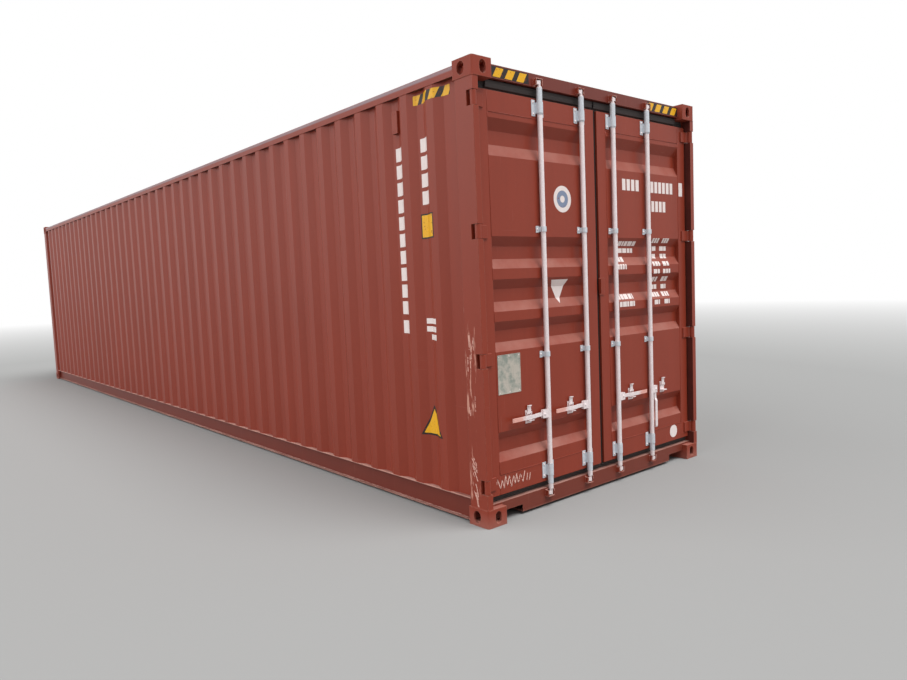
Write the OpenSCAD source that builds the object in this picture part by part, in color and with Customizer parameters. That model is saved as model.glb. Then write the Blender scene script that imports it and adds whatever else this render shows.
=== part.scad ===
// Forty foot high cube dry cargo container, steel, with two doors at the +X end.
// All lengths in millimetres. Origin on the ground under the middle, Z up, -Y is the left side.

/* [Overall size] */
// Length over the corner castings
outside_l = 12192; // [9125:1:13716]
// Width over the corner castings
outside_w = 2438; // [2300:1:2600]
// Height over the corner castings
outside_h = 2896; // [2591:1:3000]

/* [Corner castings] */
// Length of a casting along the side
casting_l = 178; // [178:1:180]
// Width of a casting across the end
casting_w = 162; // [160:1:164]
// Height of a casting
casting_h = 118; // [116:1:120]
// Wall that carries the twistlock aperture
casting_plate = 28; // [24:1:30]
// Outer side and end walls
casting_wall = 18; // [14:1:20]
// Inner walls
casting_inner_wall = 14; // [10:1:16]
// Rounding of the upright outer edge
casting_round = 14; // [8:1:16]
// Aperture length, along X
aperture_l = 124.5; // [120:0.5:126]
// Aperture width
aperture_w = 63.5; // [62:0.5:65]
// Aperture centre, inward from the end
aperture_in_x = 103.5; // [101:0.5:106]
// Aperture centre, inward from the side
aperture_in_y = 89.5; // [87:0.5:91]
// Height of the side and end holes
casting_hole_h = 79.5; // [70:0.5:80]
// Width of the side hole
side_hole_w = 63.5; // [60:0.5:65]
// Width of the end hole
end_hole_w = 51; // [48:0.5:54]

/* [Rear corner posts] */
// Depth of the post along the side
post_depth = 163; // [160:1:170]
// Inner face of the post, from the outside of the container
post_face = 49; // [48:1:50]
// Outer plate
post_plate = 6; // [5:1:8]
// Inner channel plate
post_channel = 12; // [10:1:12]
// Inset of the post from the casting faces
post_inset = 3; // [2:1:4]

/* [Door header and sill] */
// Outer face of header and sill, inward from the door end
header_in = 46; // [44:1:47]
// Wall of the header and sill sections
header_wall = 4; // [3:0.5:5]
// Top of the header, below the top of the container
header_drop = 16; // [12:1:20]
// Height of the header face
header_h = 83; // [80:1:86]
// Reach of the header's stop lip below its face
header_lip = 37; // [34:1:38]
// Outer face of the stop lips behind the leaves
lip_in = 108; // [106:1:110]
// Top of the sill in front of its stop lip
sill_top = 131; // [129:1:134]
// Length of the sill's cut-outs beside the castings
sill_cut = 194; // [160:1:220]
// Top of those cut-outs
sill_cut_z = 70; // [60:1:80]
// Radius of the drain holes in the sill
sill_drain_r = 10; // [6:1:12]

/* [Door hinges] */
// Height of the lowest hinge
hinge_low = 260; // [255:1:270]
// Top hinge, below the top of the container
hinge_drop = 246; // [241:1:256]
// Hinge pin, inward from the side
pin_u = 24; // [24:1:25]
// Hinge pin, inward from the door end
pin_v = 22; // [22:1:23]
// Hinge pin radius
pin_r = 10.5; // [9:0.5:10.5]
// Overhang of a pin's head
pin_head = 2; // [1:0.5:2]
// Height of a pin's head
pin_head_h = 5; // [3:1:8]
// Hinge barrel radius
barrel_r = 20; // [18:0.5:20]
// Gap between a barrel and the notch above and below it
barrel_gap = 2; // [1:0.5:4]
// Reach of a hinge blade from its pin
blade_l = 98; // [80:1:110]
// Thickness of a blade on the leaf
blade_t = 10; // [8:1:12]
// Height of the notch in the post
notch_h = 92; // [88:1:100]
// Depth of the notch in the post
notch_v = 60; // [60:1:62]
// Thickness of the lugs above and below each notch
lug_t = 12; // [10:1:14]

/* [Door leaves] */
// Outer edge of a leaf, inward from the side
leaf_u0 = 63; // [62:1:66]
// Gap between a leaf and the middle of the container
leaf_gap = 18; // [12:0.5:20]
// Outer face of a leaf, inward from the door end
leaf_v = 52; // [52:1:54]
// Thickness of a leaf
leaf_t = 50; // [48:1:50]
// Bottom of the leaves
leaf_z0 = 176; // [173:1:180]
// Top of the leaves, below the top of the container
leaf_drop = 172; // [168:1:176]
// Width of the upright frame members
stile_w = 100; // [90:1:105]
// Height of the top and bottom frame members
leaf_rail_h = 130; // [124:1:134]
// Wall of the frame tubes
frame_wall = 3.2; // [3:0.1:4]
// Depth of the door panel ribs
panel_depth = 36; // [30:1:38]
// Door panel sheet
panel_sheet = 2; // [1.6:0.1:3]
// Drain holes in the lower frame member
leaf_drain_r = 6; // [4:1:8]
// Depth of the door seal
seal_depth = 17; // [12:1:20]
// Height of the bracket where the leaves meet
meeting_z = 1477.5; // [1400:0.5:1560]
// Height of that bracket's foot
meeting_h = 125; // [100:1:150]
// Width of that bracket's foot
meeting_w = 58; // [50:1:70]

/* [Locking gear] */
// Outer lock rods, inward from the side
rod_in_outer = 617; // [600:1:630]
// Inner lock rods, from the middle of the container
rod_y_inner = 178; // [170:1:190]
// Lock rod centre, inward from the door end
rod_v = 28; // [28:1:29]
// Lock rod radius
rod_r = 17; // [15:0.5:17]
// Radius of the rod ends in their keepers
rod_tip_r = 11; // [9:0.5:12]
// Lower end of the rods
rod_z0 = 84; // [82:1:88]
// Upper end of the rods, below the top of the container
rod_drop = 60; // [58:1:64]
// Reach of a cam nose from its rod
cam_reach = 26; // [22:1:28]
// Height of a cam nose
cam_h = 24; // [20:1:28]
// Thickness of a cam nose
cam_t = 16; // [12:1:18]
// Gap between a cam and its keeper
keeper_gap = 7; // [6:0.5:9]
// Wall of a keeper
keeper_wall = 6; // [5:0.5:7]
// Height of the handles
handle_z = 646; // [630:1:660]
// Gap between the end of a handle and the next rod's middle
handle_gap = 70; // [64:1:90]
// Handle pivot from the middle of its rod
handle_pivot = 48; // [44:1:52]
// Height of a handle
handle_h = 26; // [22:1:28]
// Thickness of a handle
handle_t = 8; // [6:1:9]
// Bend of a handle away from the leaf
handle_bend = 10; // [6:1:10]
// Turn of the right door's outer handle, down from level: it hangs beside its rod
hang_angle = 90; // [80:1:90]
// Handle retainer from the middle of its rod
retainer_in = 178; // [165:1:190]
// Width of a retainer's foot
retainer_w = 56; // [48:1:64]
// Height of a retainer's foot
retainer_h = 88; // [80:1:88]
// Wall of the rod guides
guide_wall = 5; // [4:0.5:6]
// Width of the end guides' feet
guide_w = 112; // [100:1:150]
// Width of the middle guides' feet
guide_mid_w = 96; // [84:1:110]

/* [Side walls] */
// Middle of the first rib, from the door end
first_rib_in = 419; // [400:1:430]
// Distance between two ribs of a side wall
side_pitch = 278; // [278:1:280]
// Flat outer face of a rib
side_land = 72; // [68:1:74]
// Slope between rib and trough
side_slope = 68; // [66:1:70]
// Depth of the ribs with the sheet
side_depth = 36; // [30:1:36]
// Outer face of the ribs, from the outside of the container
side_u = 7; // [7:1:9]
// Wall sheet
wall_sheet = 2; // [1.6:0.1:2]
// Ventilators, below the top of the container
vent_drop = 246; // [230:1:280]
// Height of a ventilator
vent_h = 150; // [120:1:180]
// Sheet of a ventilator
vent_sheet = 3; // [2:0.5:4]

/* [Top rails] */
// Top of the rails, below the top of the container
rail_drop = 28; // [26:1:30]
// Height and width of the rails
rail_h = 60; // [56:1:64]
// Wall of the rails
rail_wall = 3; // [2.5:0.5:4]
// Outer face of the side rails, from the outside
rail_in = 4; // [3:1:6]

/* [Front wall and roof] */
// Outer face of the front wall, from the front end
front_in = 8; // [6:1:10]
// Distance between two ribs of the front wall
front_pitch = 250; // [248:1:250]
// Flat outer face of a front wall rib
front_land = 110; // [100:1:116]
// Slope between rib and trough of the front wall
front_slope = 18; // [16:1:22]
// Depth of the front wall ribs with the sheet
front_depth = 46; // [40:1:48]
// Distance between two roof ribs
roof_pitch = 209; // [205:1:212]
// Flat top of a roof rib
roof_land = 103; // [96:1:108]
// Slope beside a roof rib
roof_slope = 18; // [16:1:22]
// Height of the roof ribs
roof_rib = 18; // [14:1:20]
// Ends of the roof ribs, from the side
roof_rib_in = 110; // [100:1:120]
// Slope at the ends of the roof ribs
roof_rib_end = 40; // [30:1:50]
// Roof sheet
roof_sheet = 2; // [1.6:0.1:2]
// Edge of the roof, from the outside
roof_in = 10; // [8:1:12]
// Length of the roof corner plates
corner_plate_l = 200; // [150:1:300]
// Thickness of the roof corner plates
corner_plate_t = 3; // [2:0.5:4]

/* [Base] */
// Underside of sills and cross members above the ground
base_z = 20; // [18:1:24]
// Wall of the front sill
front_sill_wall = 4; // [3:0.5:5]
// Depth of the front header and sill
front_beam = 60; // [56:1:64]
// Underside of the bottom side rails above the ground
bottom_rail_z = 12; // [11:1:16]
// Web of the bottom side rails, from the side
bottom_rail_in = 52; // [50:1:54]
// Wall of the bottom side rails
bottom_rail_wall = 4.5; // [4:0.5:5]
// Top of the cargo floor
floor_z = 170; // [168:1:172]
// Floor boards
floor_t = 28; // [24:1:30]
// Width of a floor board
board_w = 389; // [300:1:400]
// Groove between floor boards
board_groove = 4; // [3:0.5:6]
// Distance between two cross members
cross_pitch = 304; // [300:1:310]
// Flange of a cross member
cross_flange = 45; // [40:1:50]
// Wall of a cross member
cross_wall = 4; // [3:0.5:5]
// Length of the gooseneck tunnel
tunnel_l = 3315; // [3200:1:3350]
// Width of the gooseneck tunnel
tunnel_w = 1029; // [1020:1:1040]
// Underside of the tunnel roof above the ground
tunnel_z = 126; // [120:1:128]
// Plate of the tunnel roof
tunnel_plate = 6; // [5:1:7]
// Side and end plates of the tunnel
tunnel_wall = 5; // [4:0.5:6]
// Width of the bars between tunnel roof and floor
tunnel_bar = 60; // [50:1:80]

/* [Hidden] */
$fa = 6;
$fs = 2;
steel_red = [0.52, 0.24, 0.2];
zinc = [0.66, 0.67, 0.68];
rubber = [0.16, 0.16, 0.17];
timber = [0.55, 0.4, 0.27];
half_l = outside_l / 2;
half_w = outside_w / 2;
// Inner faces of the castings, from the middle
cast_x = half_l - casting_l;
cast_y = half_w - casting_w;
// Upper castings' undersides
cast_z = outside_h - casting_h;
hinge_step = (outside_h - hinge_drop - hinge_low) / 3;
hinge_zs = [for (i = [0 : 3]) hinge_low + i * hinge_step];
rail_z1 = outside_h - rail_drop;
rail_z0 = rail_z1 - rail_h;
roof_z = rail_z1;
header_z1 = outside_h - header_drop;
header_z0 = header_z1 - header_h;
header_lip_z = header_z0 - header_lip;
sheet_end = half_l - post_depth;
leaf_z1 = outside_h - leaf_drop;
leaf_back = leaf_v + leaf_t;
seal_v = leaf_back - seal_depth;
seal_gap = 0.4;
stop_gap = 0.3;
rod_z1 = outside_h - rod_drop;
rod_y_outer = half_w - rod_in_outer;
handle_l = rod_y_outer - rod_y_inner - handle_gap;
// Space of a pin in the lugs and in the barrels
lug_gap = 0.3;
bore_gap = 0.5;
// Outer edge of keepers and retainer shelves, inward from the door end
shelf_v = 16;
// Foot plates of the locking gear
foot_t = 4;
// Catch pivot, inward from the door end and above the handle's middle
catch_v = 42;
catch_up = 22;
catch_pin_r = 3;

// Points given as inward distances from the side and from the end, turned into X and Y
function plan_points(points) = [for (p = points) [-p[1], p[0]]];

// Left corner of the door end as local origin
module door_corner() {
  translate([half_l, -half_w, 0]) children();
}

// Left corner of the front end as local origin, X pointing to the doors
module front_corner() {
  translate([-half_l, -half_w, 0]) children();
}

module both_sides() {
  children();
  mirror([0, 1, 0]) children();
}

module upright(points, z0, z1) {
  translate([0, 0, z0])
    linear_extrude(z1 - z0)
      polygon(points);
}

// Profile in X and Z, carried from y0 to y1
module across(points, y0, y1) {
  translate([0, y1, 0])
    rotate([90, 0, 0])
      linear_extrude(y1 - y0)
        polygon(points);
}

// Profile in Y and Z, carried from x0 to x1
module lengthwise(points, x0, x1) {
  translate([x0, 0, 0])
    rotate([90, 0, 90])
      linear_extrude(x1 - x0)
        polygon(points);
}

module box(x0, x1, y0, y1, z0, z1) {
  translate([x0, y0, z0]) cube([x1 - x0, y1 - y0, z1 - z0]);
}

// Slot along Z with its long side along X
module slot_z(length, width, z0, z1) {
  reach = (length - width) / 2;
  for (s = [-1, 1])
    translate([s * reach, 0, z0]) cylinder(h = z1 - z0, r = width / 2);
  box(-reach, reach, -width / 2, width / 2, z0, z1);
}

module casting() {
  r = casting_round;
  difference() {
    upright([
      [-casting_l, 0], [-r, 0], [-r * 0.5, r * 0.134], [-r * 0.134, r * 0.5],
      [0, r], [0, casting_w], [-casting_l, casting_w]
    ], 0, casting_h);
    box(-casting_l + casting_inner_wall, -casting_wall, casting_wall, casting_w - casting_inner_wall,
        casting_plate, casting_h - casting_inner_wall);
    translate([-aperture_in_x, aperture_in_y, 0]) slot_z(aperture_l, aperture_w, -1, casting_plate + 1);
    translate([-aperture_in_x, 0, casting_h / 2]) rotate([90, 90, 0])
      slot_z(casting_hole_h, side_hole_w, -casting_wall - 1, 1);
    translate([0, aperture_in_y, casting_h / 2]) rotate([0, 90, 0])
      slot_z(casting_hole_h, end_hole_w, -casting_wall - 1, 1);
  }
}

module four_castings() {
  both_sides() {
    door_corner() casting();
    mirror([1, 0, 0]) door_corner() casting();
  }
}

module corner_castings_bottom() {
  color(steel_red) four_castings();
}

module corner_castings_top() {
  color(steel_red) translate([0, 0, outside_h]) mirror([0, 0, 1]) four_castings();
}

module rear_post() {
  outer = post_inset + post_plate;
  inner = post_face - post_plate;
  difference() {
    box(-post_depth, -post_inset, post_inset, post_face, casting_h, cast_z);
    box(-notch_v, -outer, outer, inner, casting_h - 1, cast_z + 1);
    box(-post_depth + post_channel, -notch_v - post_channel, outer, post_face - post_channel,
        casting_h - 1, cast_z + 1);
    for (z = hinge_zs)
      box(-notch_v, 0, 0, post_face + 1, z - notch_h / 2, z + notch_h / 2);
  }
  for (z = hinge_zs, s = [-1, 1])
    difference() {
      box(-notch_v - 1, -outer + 1, outer - 1, inner + 1,
          z + s * (notch_h + lug_t) / 2 - lug_t / 2, z + s * (notch_h + lug_t) / 2 + lug_t / 2);
      translate([-pin_v, pin_u, z - notch_h]) cylinder(h = 2 * notch_h, r = pin_r + lug_gap);
    }
}

module rear_corner_posts() {
  color(steel_red) both_sides() door_corner() rear_post();
}

// Folded plate with a bevelled edge and a return lip at each end
module front_post() {
  t = 6;
  o = post_inset;
  bevel = 15;
  side_end = side_u + side_depth;
  end_end = front_in + front_depth;
  upright([
    [o, o + bevel], [o + bevel, o], [casting_l - 19, o], [casting_l, side_end - 8], [casting_l, side_end],
    [casting_l - 7, side_end], [casting_l - 22, o + t], [o + bevel + 2.5, o + t], [o + t, o + bevel + 2.5],
    [o + t, casting_w - 25], [end_end, casting_w - 8], [end_end, casting_w], [end_end - 8, casting_w],
    [o, casting_w - 22]
  ], casting_h, cast_z);
}

module front_corner_posts() {
  color(steel_red) both_sides() front_corner() front_post();
}

module header_profile() {
  x0 = half_l - header_in;
  x1 = half_l - lip_in;
  x2 = half_l - post_depth;
  t = header_wall;
  difference() {
    polygon([
      [x0, header_z0], [x0, header_z1], [x2, header_z1], [x2, header_lip_z], [x1, header_lip_z],
      [x1, header_z0]
    ]);
    polygon([
      [x0 - t, header_z0 + t], [x0 - t, header_z1 - t], [x2 + t, header_z1 - t],
      [x2 + t, header_lip_z + t], [x1 - t, header_lip_z + t], [x1 - t, header_z0 + t]
    ]);
  }
}

// Hollow header, and a stop block under each casting
module door_header() {
  x1 = half_l - lip_in;
  x2 = half_l - post_depth;
  color(steel_red) {
    translate([0, cast_y, 0]) rotate([90, 0, 0]) linear_extrude(2 * cast_y) header_profile();
    both_sides() box(x2, x1, -half_w + post_face, -cast_y - stop_gap, header_lip_z, cast_z);
  }
}

// Section of the sill above a height, or its hollow where t is its wall
function sill_line(z, t) = [
  [half_l - header_in - t, z + t], [half_l - header_in - t, sill_top - t],
  [half_l - lip_in - t, sill_top - t], [half_l - lip_in - t, floor_z - t],
  [half_l - post_depth + t, floor_z - t], [half_l - post_depth + t, z + t]
];

// Hollow sill, cut out and open beside each casting, and a shelf over each casting
module door_sill() {
  t = header_wall;
  x0 = half_l - header_in;
  x2 = half_l - post_depth;
  cut_y = cast_y - sill_cut;
  arm_y = cast_y - stop_gap;
  color(steel_red) {
    difference() {
      union() {
        across(sill_line(base_z, 0), -cut_y, cut_y);
        across(sill_line(sill_cut_z, 0), -arm_y, arm_y);
      }
      across(sill_line(base_z, t), -cut_y, cut_y);
      across(sill_line(sill_cut_z, t), -arm_y + t, arm_y - t);
      box(x2 + t, x0 - t, -cut_y - 1, cut_y + 1, base_z + t, sill_cut_z);
      for (i = [-1 : 1])
        translate([(x0 + x2) / 2, i * cut_y / 2, base_z - 1]) cylinder(h = t + 2, r = sill_drain_r);
    }
    both_sides() across(sill_line(casting_h, 0), -half_w + post_face, -cast_y);
  }
}

module front_header() {
  x0 = -half_l + front_in;
  w = rail_wall;
  color(steel_red)
    difference() {
      box(x0, x0 + front_beam, -cast_y, cast_y, rail_z0, rail_z1);
      box(x0 + w, x0 + front_beam - w, -cast_y - 1, cast_y + 1, rail_z0 + w, rail_z1 - w);
    }
}

module front_sill() {
  x0 = -half_l + front_in;
  x1 = x0 + front_beam;
  t = front_sill_wall;
  roof_top = tunnel_z + tunnel_plate;
  color(steel_red) {
    both_sides()
      difference() {
        box(x0, x1, -cast_y, -tunnel_w / 2, base_z, floor_z);
        box(x0 + t, x1 - t, -cast_y - 1, -tunnel_w / 2 - t, base_z + t, floor_z - t);
      }
    difference() {
      box(x0, x1, -tunnel_w / 2, tunnel_w / 2, roof_top, floor_z);
      box(x0 + t, x1 - t, -tunnel_w / 2 - 1, tunnel_w / 2 + 1, roof_top + t, floor_z - t);
    }
  }
}

module top_rail() {
  y0 = -half_w + rail_in;
  w = rail_wall;
  difference() {
    box(-cast_x, cast_x, y0, y0 + rail_h, rail_z0, rail_z1);
    box(-cast_x - 1, cast_x + 1, y0 + w, y0 + rail_h - w, rail_z0 + w, rail_z1 - w);
  }
}

module top_side_rails() {
  color(steel_red) both_sides() top_rail();
}

// Channel with its flanges towards the outside
module bottom_rail() {
  t = bottom_rail_wall;
  web = -half_w + bottom_rail_in;
  lip = web - 30;
  top_y = -half_w + rail_in;
  z0 = bottom_rail_z;
  difference() {
    lengthwise([
      [top_y, floor_z], [web, floor_z], [web, z0], [lip, z0], [lip, z0 + t],
      [web - t, z0 + t], [web - t, floor_z - t], [top_y, floor_z - t]
    ], -cast_x, half_l - post_depth);
    box(cast_x, half_l, -half_w - 1, web + 8, 0, casting_h);
  }
}

module bottom_side_rails() {
  color(steel_red) both_sides() bottom_rail();
}

// Outer face of one side wall from the doors to the front, as X and distance from the side
first_rib = half_l - first_rib_in;
rib_count = floor((first_rib + cast_x - side_land / 2 - 2 * side_slope) / side_pitch) + 1;
trough_u = side_u + side_depth - wall_sheet;
side_face = concat(
  [[sheet_end, trough_u]],
  [for (i = [0 : rib_count - 1]) each [
    [first_rib - i * side_pitch + side_land / 2 + side_slope, trough_u],
    [first_rib - i * side_pitch + side_land / 2, side_u],
    [first_rib - i * side_pitch - side_land / 2, side_u],
    [first_rib - i * side_pitch - side_land / 2 - side_slope, trough_u]
  ]],
  [[-cast_x, trough_u]]
);

module side_wall() {
  n = len(side_face);
  difference() {
    upright(concat(
      [for (p = side_face) [p[0], -half_w + p[1]]],
      [for (i = [0 : n - 1]) [side_face[n - 1 - i][0], -half_w + side_face[n - 1 - i][1] + wall_sheet]]
    ), floor_z, rail_z0);
    box(cast_x, half_l, -half_w - 1, -half_w + 60, cast_z, outside_h);
  }
}

module side_wall_left() {
  color(steel_red) side_wall();
}

module side_wall_right() {
  color(steel_red) mirror([0, 1, 0]) side_wall();
}

front_ribs = floor((2 * cast_y - front_land) / front_pitch);
front_start = -front_ribs * front_pitch / 2;
front_margin = (front_pitch - front_land) / 2;
front_trough = front_in + front_depth - wall_sheet;
front_face = concat(
  [[-cast_y, front_trough]],
  [for (i = [0 : front_ribs - 1]) each [
    [front_start + i * front_pitch + front_margin - front_slope, front_trough],
    [front_start + i * front_pitch + front_margin, front_in],
    [front_start + (i + 1) * front_pitch - front_margin, front_in],
    [front_start + (i + 1) * front_pitch - front_margin + front_slope, front_trough]
  ]],
  [[cast_y, front_trough]]
);

module front_wall() {
  n = len(front_face);
  color(steel_red)
    upright(concat(
      [for (p = front_face) [-half_l + p[1], p[0]]],
      [for (i = [0 : n - 1]) [-half_l + front_face[n - 1 - i][1] + wall_sheet, front_face[n - 1 - i][0]]]
    ), floor_z, rail_z0);
}

roof_x0 = -half_l + roof_in;
roof_x1 = half_l - post_depth;
roof_ribs = floor((roof_x1 - roof_x0 - casting_l) / roof_pitch);
roof_start = (roof_x0 + roof_x1 - roof_ribs * roof_pitch) / 2;
roof_margin = (roof_pitch - roof_land) / 2;

// Ribs as a long strip, then cut to a sloping end at each side
module roof_ribs_solid(lift, grow) {
  intersection() {
    for (i = [0 : roof_ribs - 1])
      across([
        [roof_start + i * roof_pitch + roof_margin - roof_slope - grow, roof_z - 1 + lift],
        [roof_start + i * roof_pitch + roof_margin - grow, roof_z + roof_rib + lift],
        [roof_start + (i + 1) * roof_pitch - roof_margin + grow, roof_z + roof_rib + lift],
        [roof_start + (i + 1) * roof_pitch - roof_margin + roof_slope + grow, roof_z - 1 + lift]
      ], -half_w + roof_rib_in - 10, half_w - roof_rib_in + 10);
    lengthwise([
      [-half_w + roof_rib_in, roof_z - 1 + lift],
      [-half_w + roof_rib_in + roof_rib_end, roof_z + roof_rib + lift],
      [half_w - roof_rib_in - roof_rib_end, roof_z + roof_rib + lift],
      [half_w - roof_rib_in, roof_z - 1 + lift]
    ], roof_x0, roof_x1);
  }
}

module roof() {
  color(steel_red)
    difference() {
      union() {
        box(roof_x0, roof_x1, -half_w + roof_in, half_w - roof_in, roof_z, roof_z + roof_sheet);
        roof_ribs_solid(roof_sheet, 0);
      }
      roof_ribs_solid(0, -1.2);
      for (sx = [-1, 1], sy = [-1, 1])
        translate([sx * half_l, sy * half_w, roof_z])
          box(-casting_l, casting_l, -casting_w, casting_w, -1, rail_drop + 1);
    }
}

module roof_corner_plates() {
  z0 = roof_z + roof_sheet;
  z1 = z0 + corner_plate_t;
  y0 = -half_w + roof_in;
  l = corner_plate_l;
  color(steel_red)
    both_sides() {
      box(cast_x - l, cast_x, y0, y0 + l / 2 - roof_in, z0, z1);
      box(-cast_x, -cast_x + l, y0, y0 + l / 2 - roof_in, z0, z1);
      box(-half_l + roof_in, -cast_x, -cast_y, -cast_y + l, z0, z1);
    }
}

module floor_boards() {
  w = half_w - bottom_rail_in;
  grooves = floor(w / board_w);
  g = board_groove;
  difference() {
    box(-half_l + front_in + front_beam, half_l - post_depth, -w, w, floor_z - floor_t, floor_z);
    for (i = [-grooves : grooves])
      box(-half_l, half_l, i * board_w - g / 2, i * board_w + g / 2, floor_z - g / 2, floor_z + 1);
  }
}

module floor() {
  color(timber) floor_boards();
}

module cross_member(x, y0, y1) {
  z0 = base_z;
  z1 = floor_z - floor_t;
  f = cross_flange;
  t = cross_wall;
  across([
    [x, z0], [x + f, z0], [x + f, z0 + t], [x + t, z0 + t],
    [x + t, z1 - t], [x + f, z1 - t], [x + f, z1], [x, z1]
  ], y0, y1);
}

// Whole members behind the tunnel, short ones on both sides of it
module cross_members() {
  w = half_w - bottom_rail_in;
  x_first = half_l - post_depth - 140;
  tunnel_end = -half_l + tunnel_l;
  full = floor((x_first - tunnel_end) / cross_pitch);
  short_first = x_first - (full + 1) * cross_pitch;
  short = floor((short_first + cast_x - cross_flange) / cross_pitch);
  inner = tunnel_w / 2 + tunnel_wall;
  color(steel_red) {
    for (i = [0 : full])
      cross_member(x_first - i * cross_pitch, -w, w);
    both_sides()
      for (i = [0 : short])
        cross_member(short_first - i * cross_pitch, -w, -inner);
  }
}

module gooseneck_tunnel() {
  t = tunnel_wall;
  h = tunnel_w / 2;
  x0 = -half_l + front_in + front_beam;
  x1 = -half_l + tunnel_l;
  z0 = tunnel_z + tunnel_plate;
  z1 = floor_z - floor_t;
  bars = floor((x1 - x0 - tunnel_bar) / cross_pitch);
  color(steel_red) {
    lengthwise([
      [-h - t, base_z], [-h, base_z], [-h, tunnel_z], [h, tunnel_z], [h, base_z], [h + t, base_z],
      [h + t, z1], [h, z1], [h, z0], [-h, z0], [-h, z1], [-h - t, z1]
    ], x0, x1 - t);
    box(x1 - t, x1, -h - t, h + t, base_z, z1);
    for (i = [1 : bars])
      box(x1 - i * cross_pitch, x1 - i * cross_pitch + tunnel_bar, -h, h, z0, z1);
  }
}

// Cover over the foot of a slope, open below
module ventilator() {
  reach = (side_pitch - side_land) / 2 - side_slope;
  run = 27;
  rise = run * (trough_u - side_u) / side_slope;
  w = vent_sheet;
  translate([0, -half_w, 0])
    difference() {
      upright([
        [2, side_u + 1], [reach + run, side_u + 1], [reach + run, trough_u - rise], [reach, trough_u],
        [2, trough_u]
      ], -vent_h / 2, vent_h / 2);
      upright([
        [2 + w, side_u + 1 + w], [reach + run - w, side_u + 1 + w],
        [reach + run - w, trough_u - rise + 1 - w], [reach - 1, trough_u - w], [2 + w, trough_u - w]
      ], -vent_h / 2 - 1, vent_h / 2 - w);
    }
}

module ventilators() {
  color(steel_red)
    both_sides()
      translate([first_rib - 1.5 * side_pitch, 0, outside_h - vent_drop]) ventilator();
}

// Keeper for the upper end of a rod whose cam points to -Y, open to the outside and to the rod
module keeper() {
  a = -cam_reach - keeper_gap;
  b = rod_tip_r + keeper_gap;
  w = keeper_wall;
  x = -header_in;
  box(x, x + foot_t, a - w, b + w, -38, 14);
  box(x, -shelf_v, a - w, a, -34, 12);
  box(x, -shelf_v, b, b + w, -34, 12);
  box(x, -shelf_v, a - w, b + w, 12 - w, 12);
}

module rod_keepers() {
  color(steel_red)
    both_sides()
      for (y = [-rod_y_outer, -rod_y_inner]) {
        translate([half_l, y, rod_z1]) keeper();
        translate([half_l, y, rod_z0]) mirror([0, 0, 1]) keeper();
      }
}

module hinge_pins() {
  end = notch_h / 2 + lug_t;
  color(zinc)
    both_sides()
      door_corner()
        for (z = hinge_zs)
          translate([-pin_v, pin_u, z]) {
            translate([0, 0, -end - 4]) cylinder(h = 2 * end + 4, r = pin_r);
            translate([0, 0, end]) cylinder(h = pin_head_h, r = pin_r + pin_head);
          }
}

module leaf_frame() {
  w = frame_wall;
  x1 = half_l - leaf_v;
  x0 = x1 - leaf_t;
  y0 = -half_w + leaf_u0;
  y1 = -leaf_gap;
  s = stile_w;
  r = leaf_rail_h;
  difference() {
    box(x0, x1, y0, y1, leaf_z0, leaf_z1);
    box(x0 - 1, x1 + 1, y0 + s, y1 - s, leaf_z0 + r, leaf_z1 - r);
    difference() {
      box(x0 + w, x1 - w, y0 + w, y1 - w, leaf_z0 + w, leaf_z1 - w);
      box(x0, x1, y0 + s - w, y1 - s + w, leaf_z0 + r - w, leaf_z1 - r + w);
    }
    for (y = [y0 + s / 2, y0 + 4 * s, y1 - 4 * s, y1 - s / 2])
      translate([(x0 + x1) / 2, y, leaf_z0 - 1]) cylinder(h = w + 2, r = leaf_drain_r);
  }
}

// Troughs of a door panel as shares of its height: middle, half outside, half inside
troughs = [
  [0.9342, 0.0509, 0.019], [0.6211, 0.0446, 0.0175], [0.5026, 0.0446, 0.0175],
  [0.3881, 0.042, 0.0166], [0.0782, 0.0424, 0.0184]
];
panel_z0 = leaf_z0 + leaf_rail_h;
panel_h = leaf_z1 - leaf_rail_h - panel_z0;

function panel_line(v) = concat(
  [[v, panel_z0 + panel_h]],
  [for (t = troughs) each [
    [v, panel_z0 + (t[0] + t[1]) * panel_h], [v + panel_depth, panel_z0 + (t[0] + t[2]) * panel_h],
    [v + panel_depth, panel_z0 + (t[0] - t[2]) * panel_h], [v, panel_z0 + (t[0] - t[1]) * panel_h]
  ]],
  [[v, panel_z0]]
);

module leaf_panel() {
  front = panel_line(leaf_v);
  back = panel_line(leaf_v + panel_sheet);
  n = len(front);
  across(concat(
    [for (p = front) [half_l - p[0], p[1]]],
    [for (i = [0 : n - 1]) [half_l - back[n - 1 - i][0], back[n - 1 - i][1]]]
  ), -half_w + leaf_u0 + stile_w, -leaf_gap - stile_w);
}

// Ring around a leaf, between it and the posts, castings, header and sill
module leaf_gasket() {
  y_post = -half_w + post_face + seal_gap;
  y_cast = -cast_y + seal_gap;
  z_low = sill_top + seal_gap;
  z_cast = cast_z - seal_gap;
  z_high = header_z0 - seal_gap;
  x0 = half_l - leaf_back;
  x1 = half_l - seal_v;
  difference() {
    lengthwise([
      [y_post, z_low], [-seal_gap, z_low], [-seal_gap, z_high], [y_cast, z_high], [y_cast, z_cast],
      [y_post, z_cast]
    ], x0, x1);
    box(x0 - 1, x1 + 1, -half_w + leaf_u0, -leaf_gap, leaf_z0, leaf_z1);
  }
}

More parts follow.
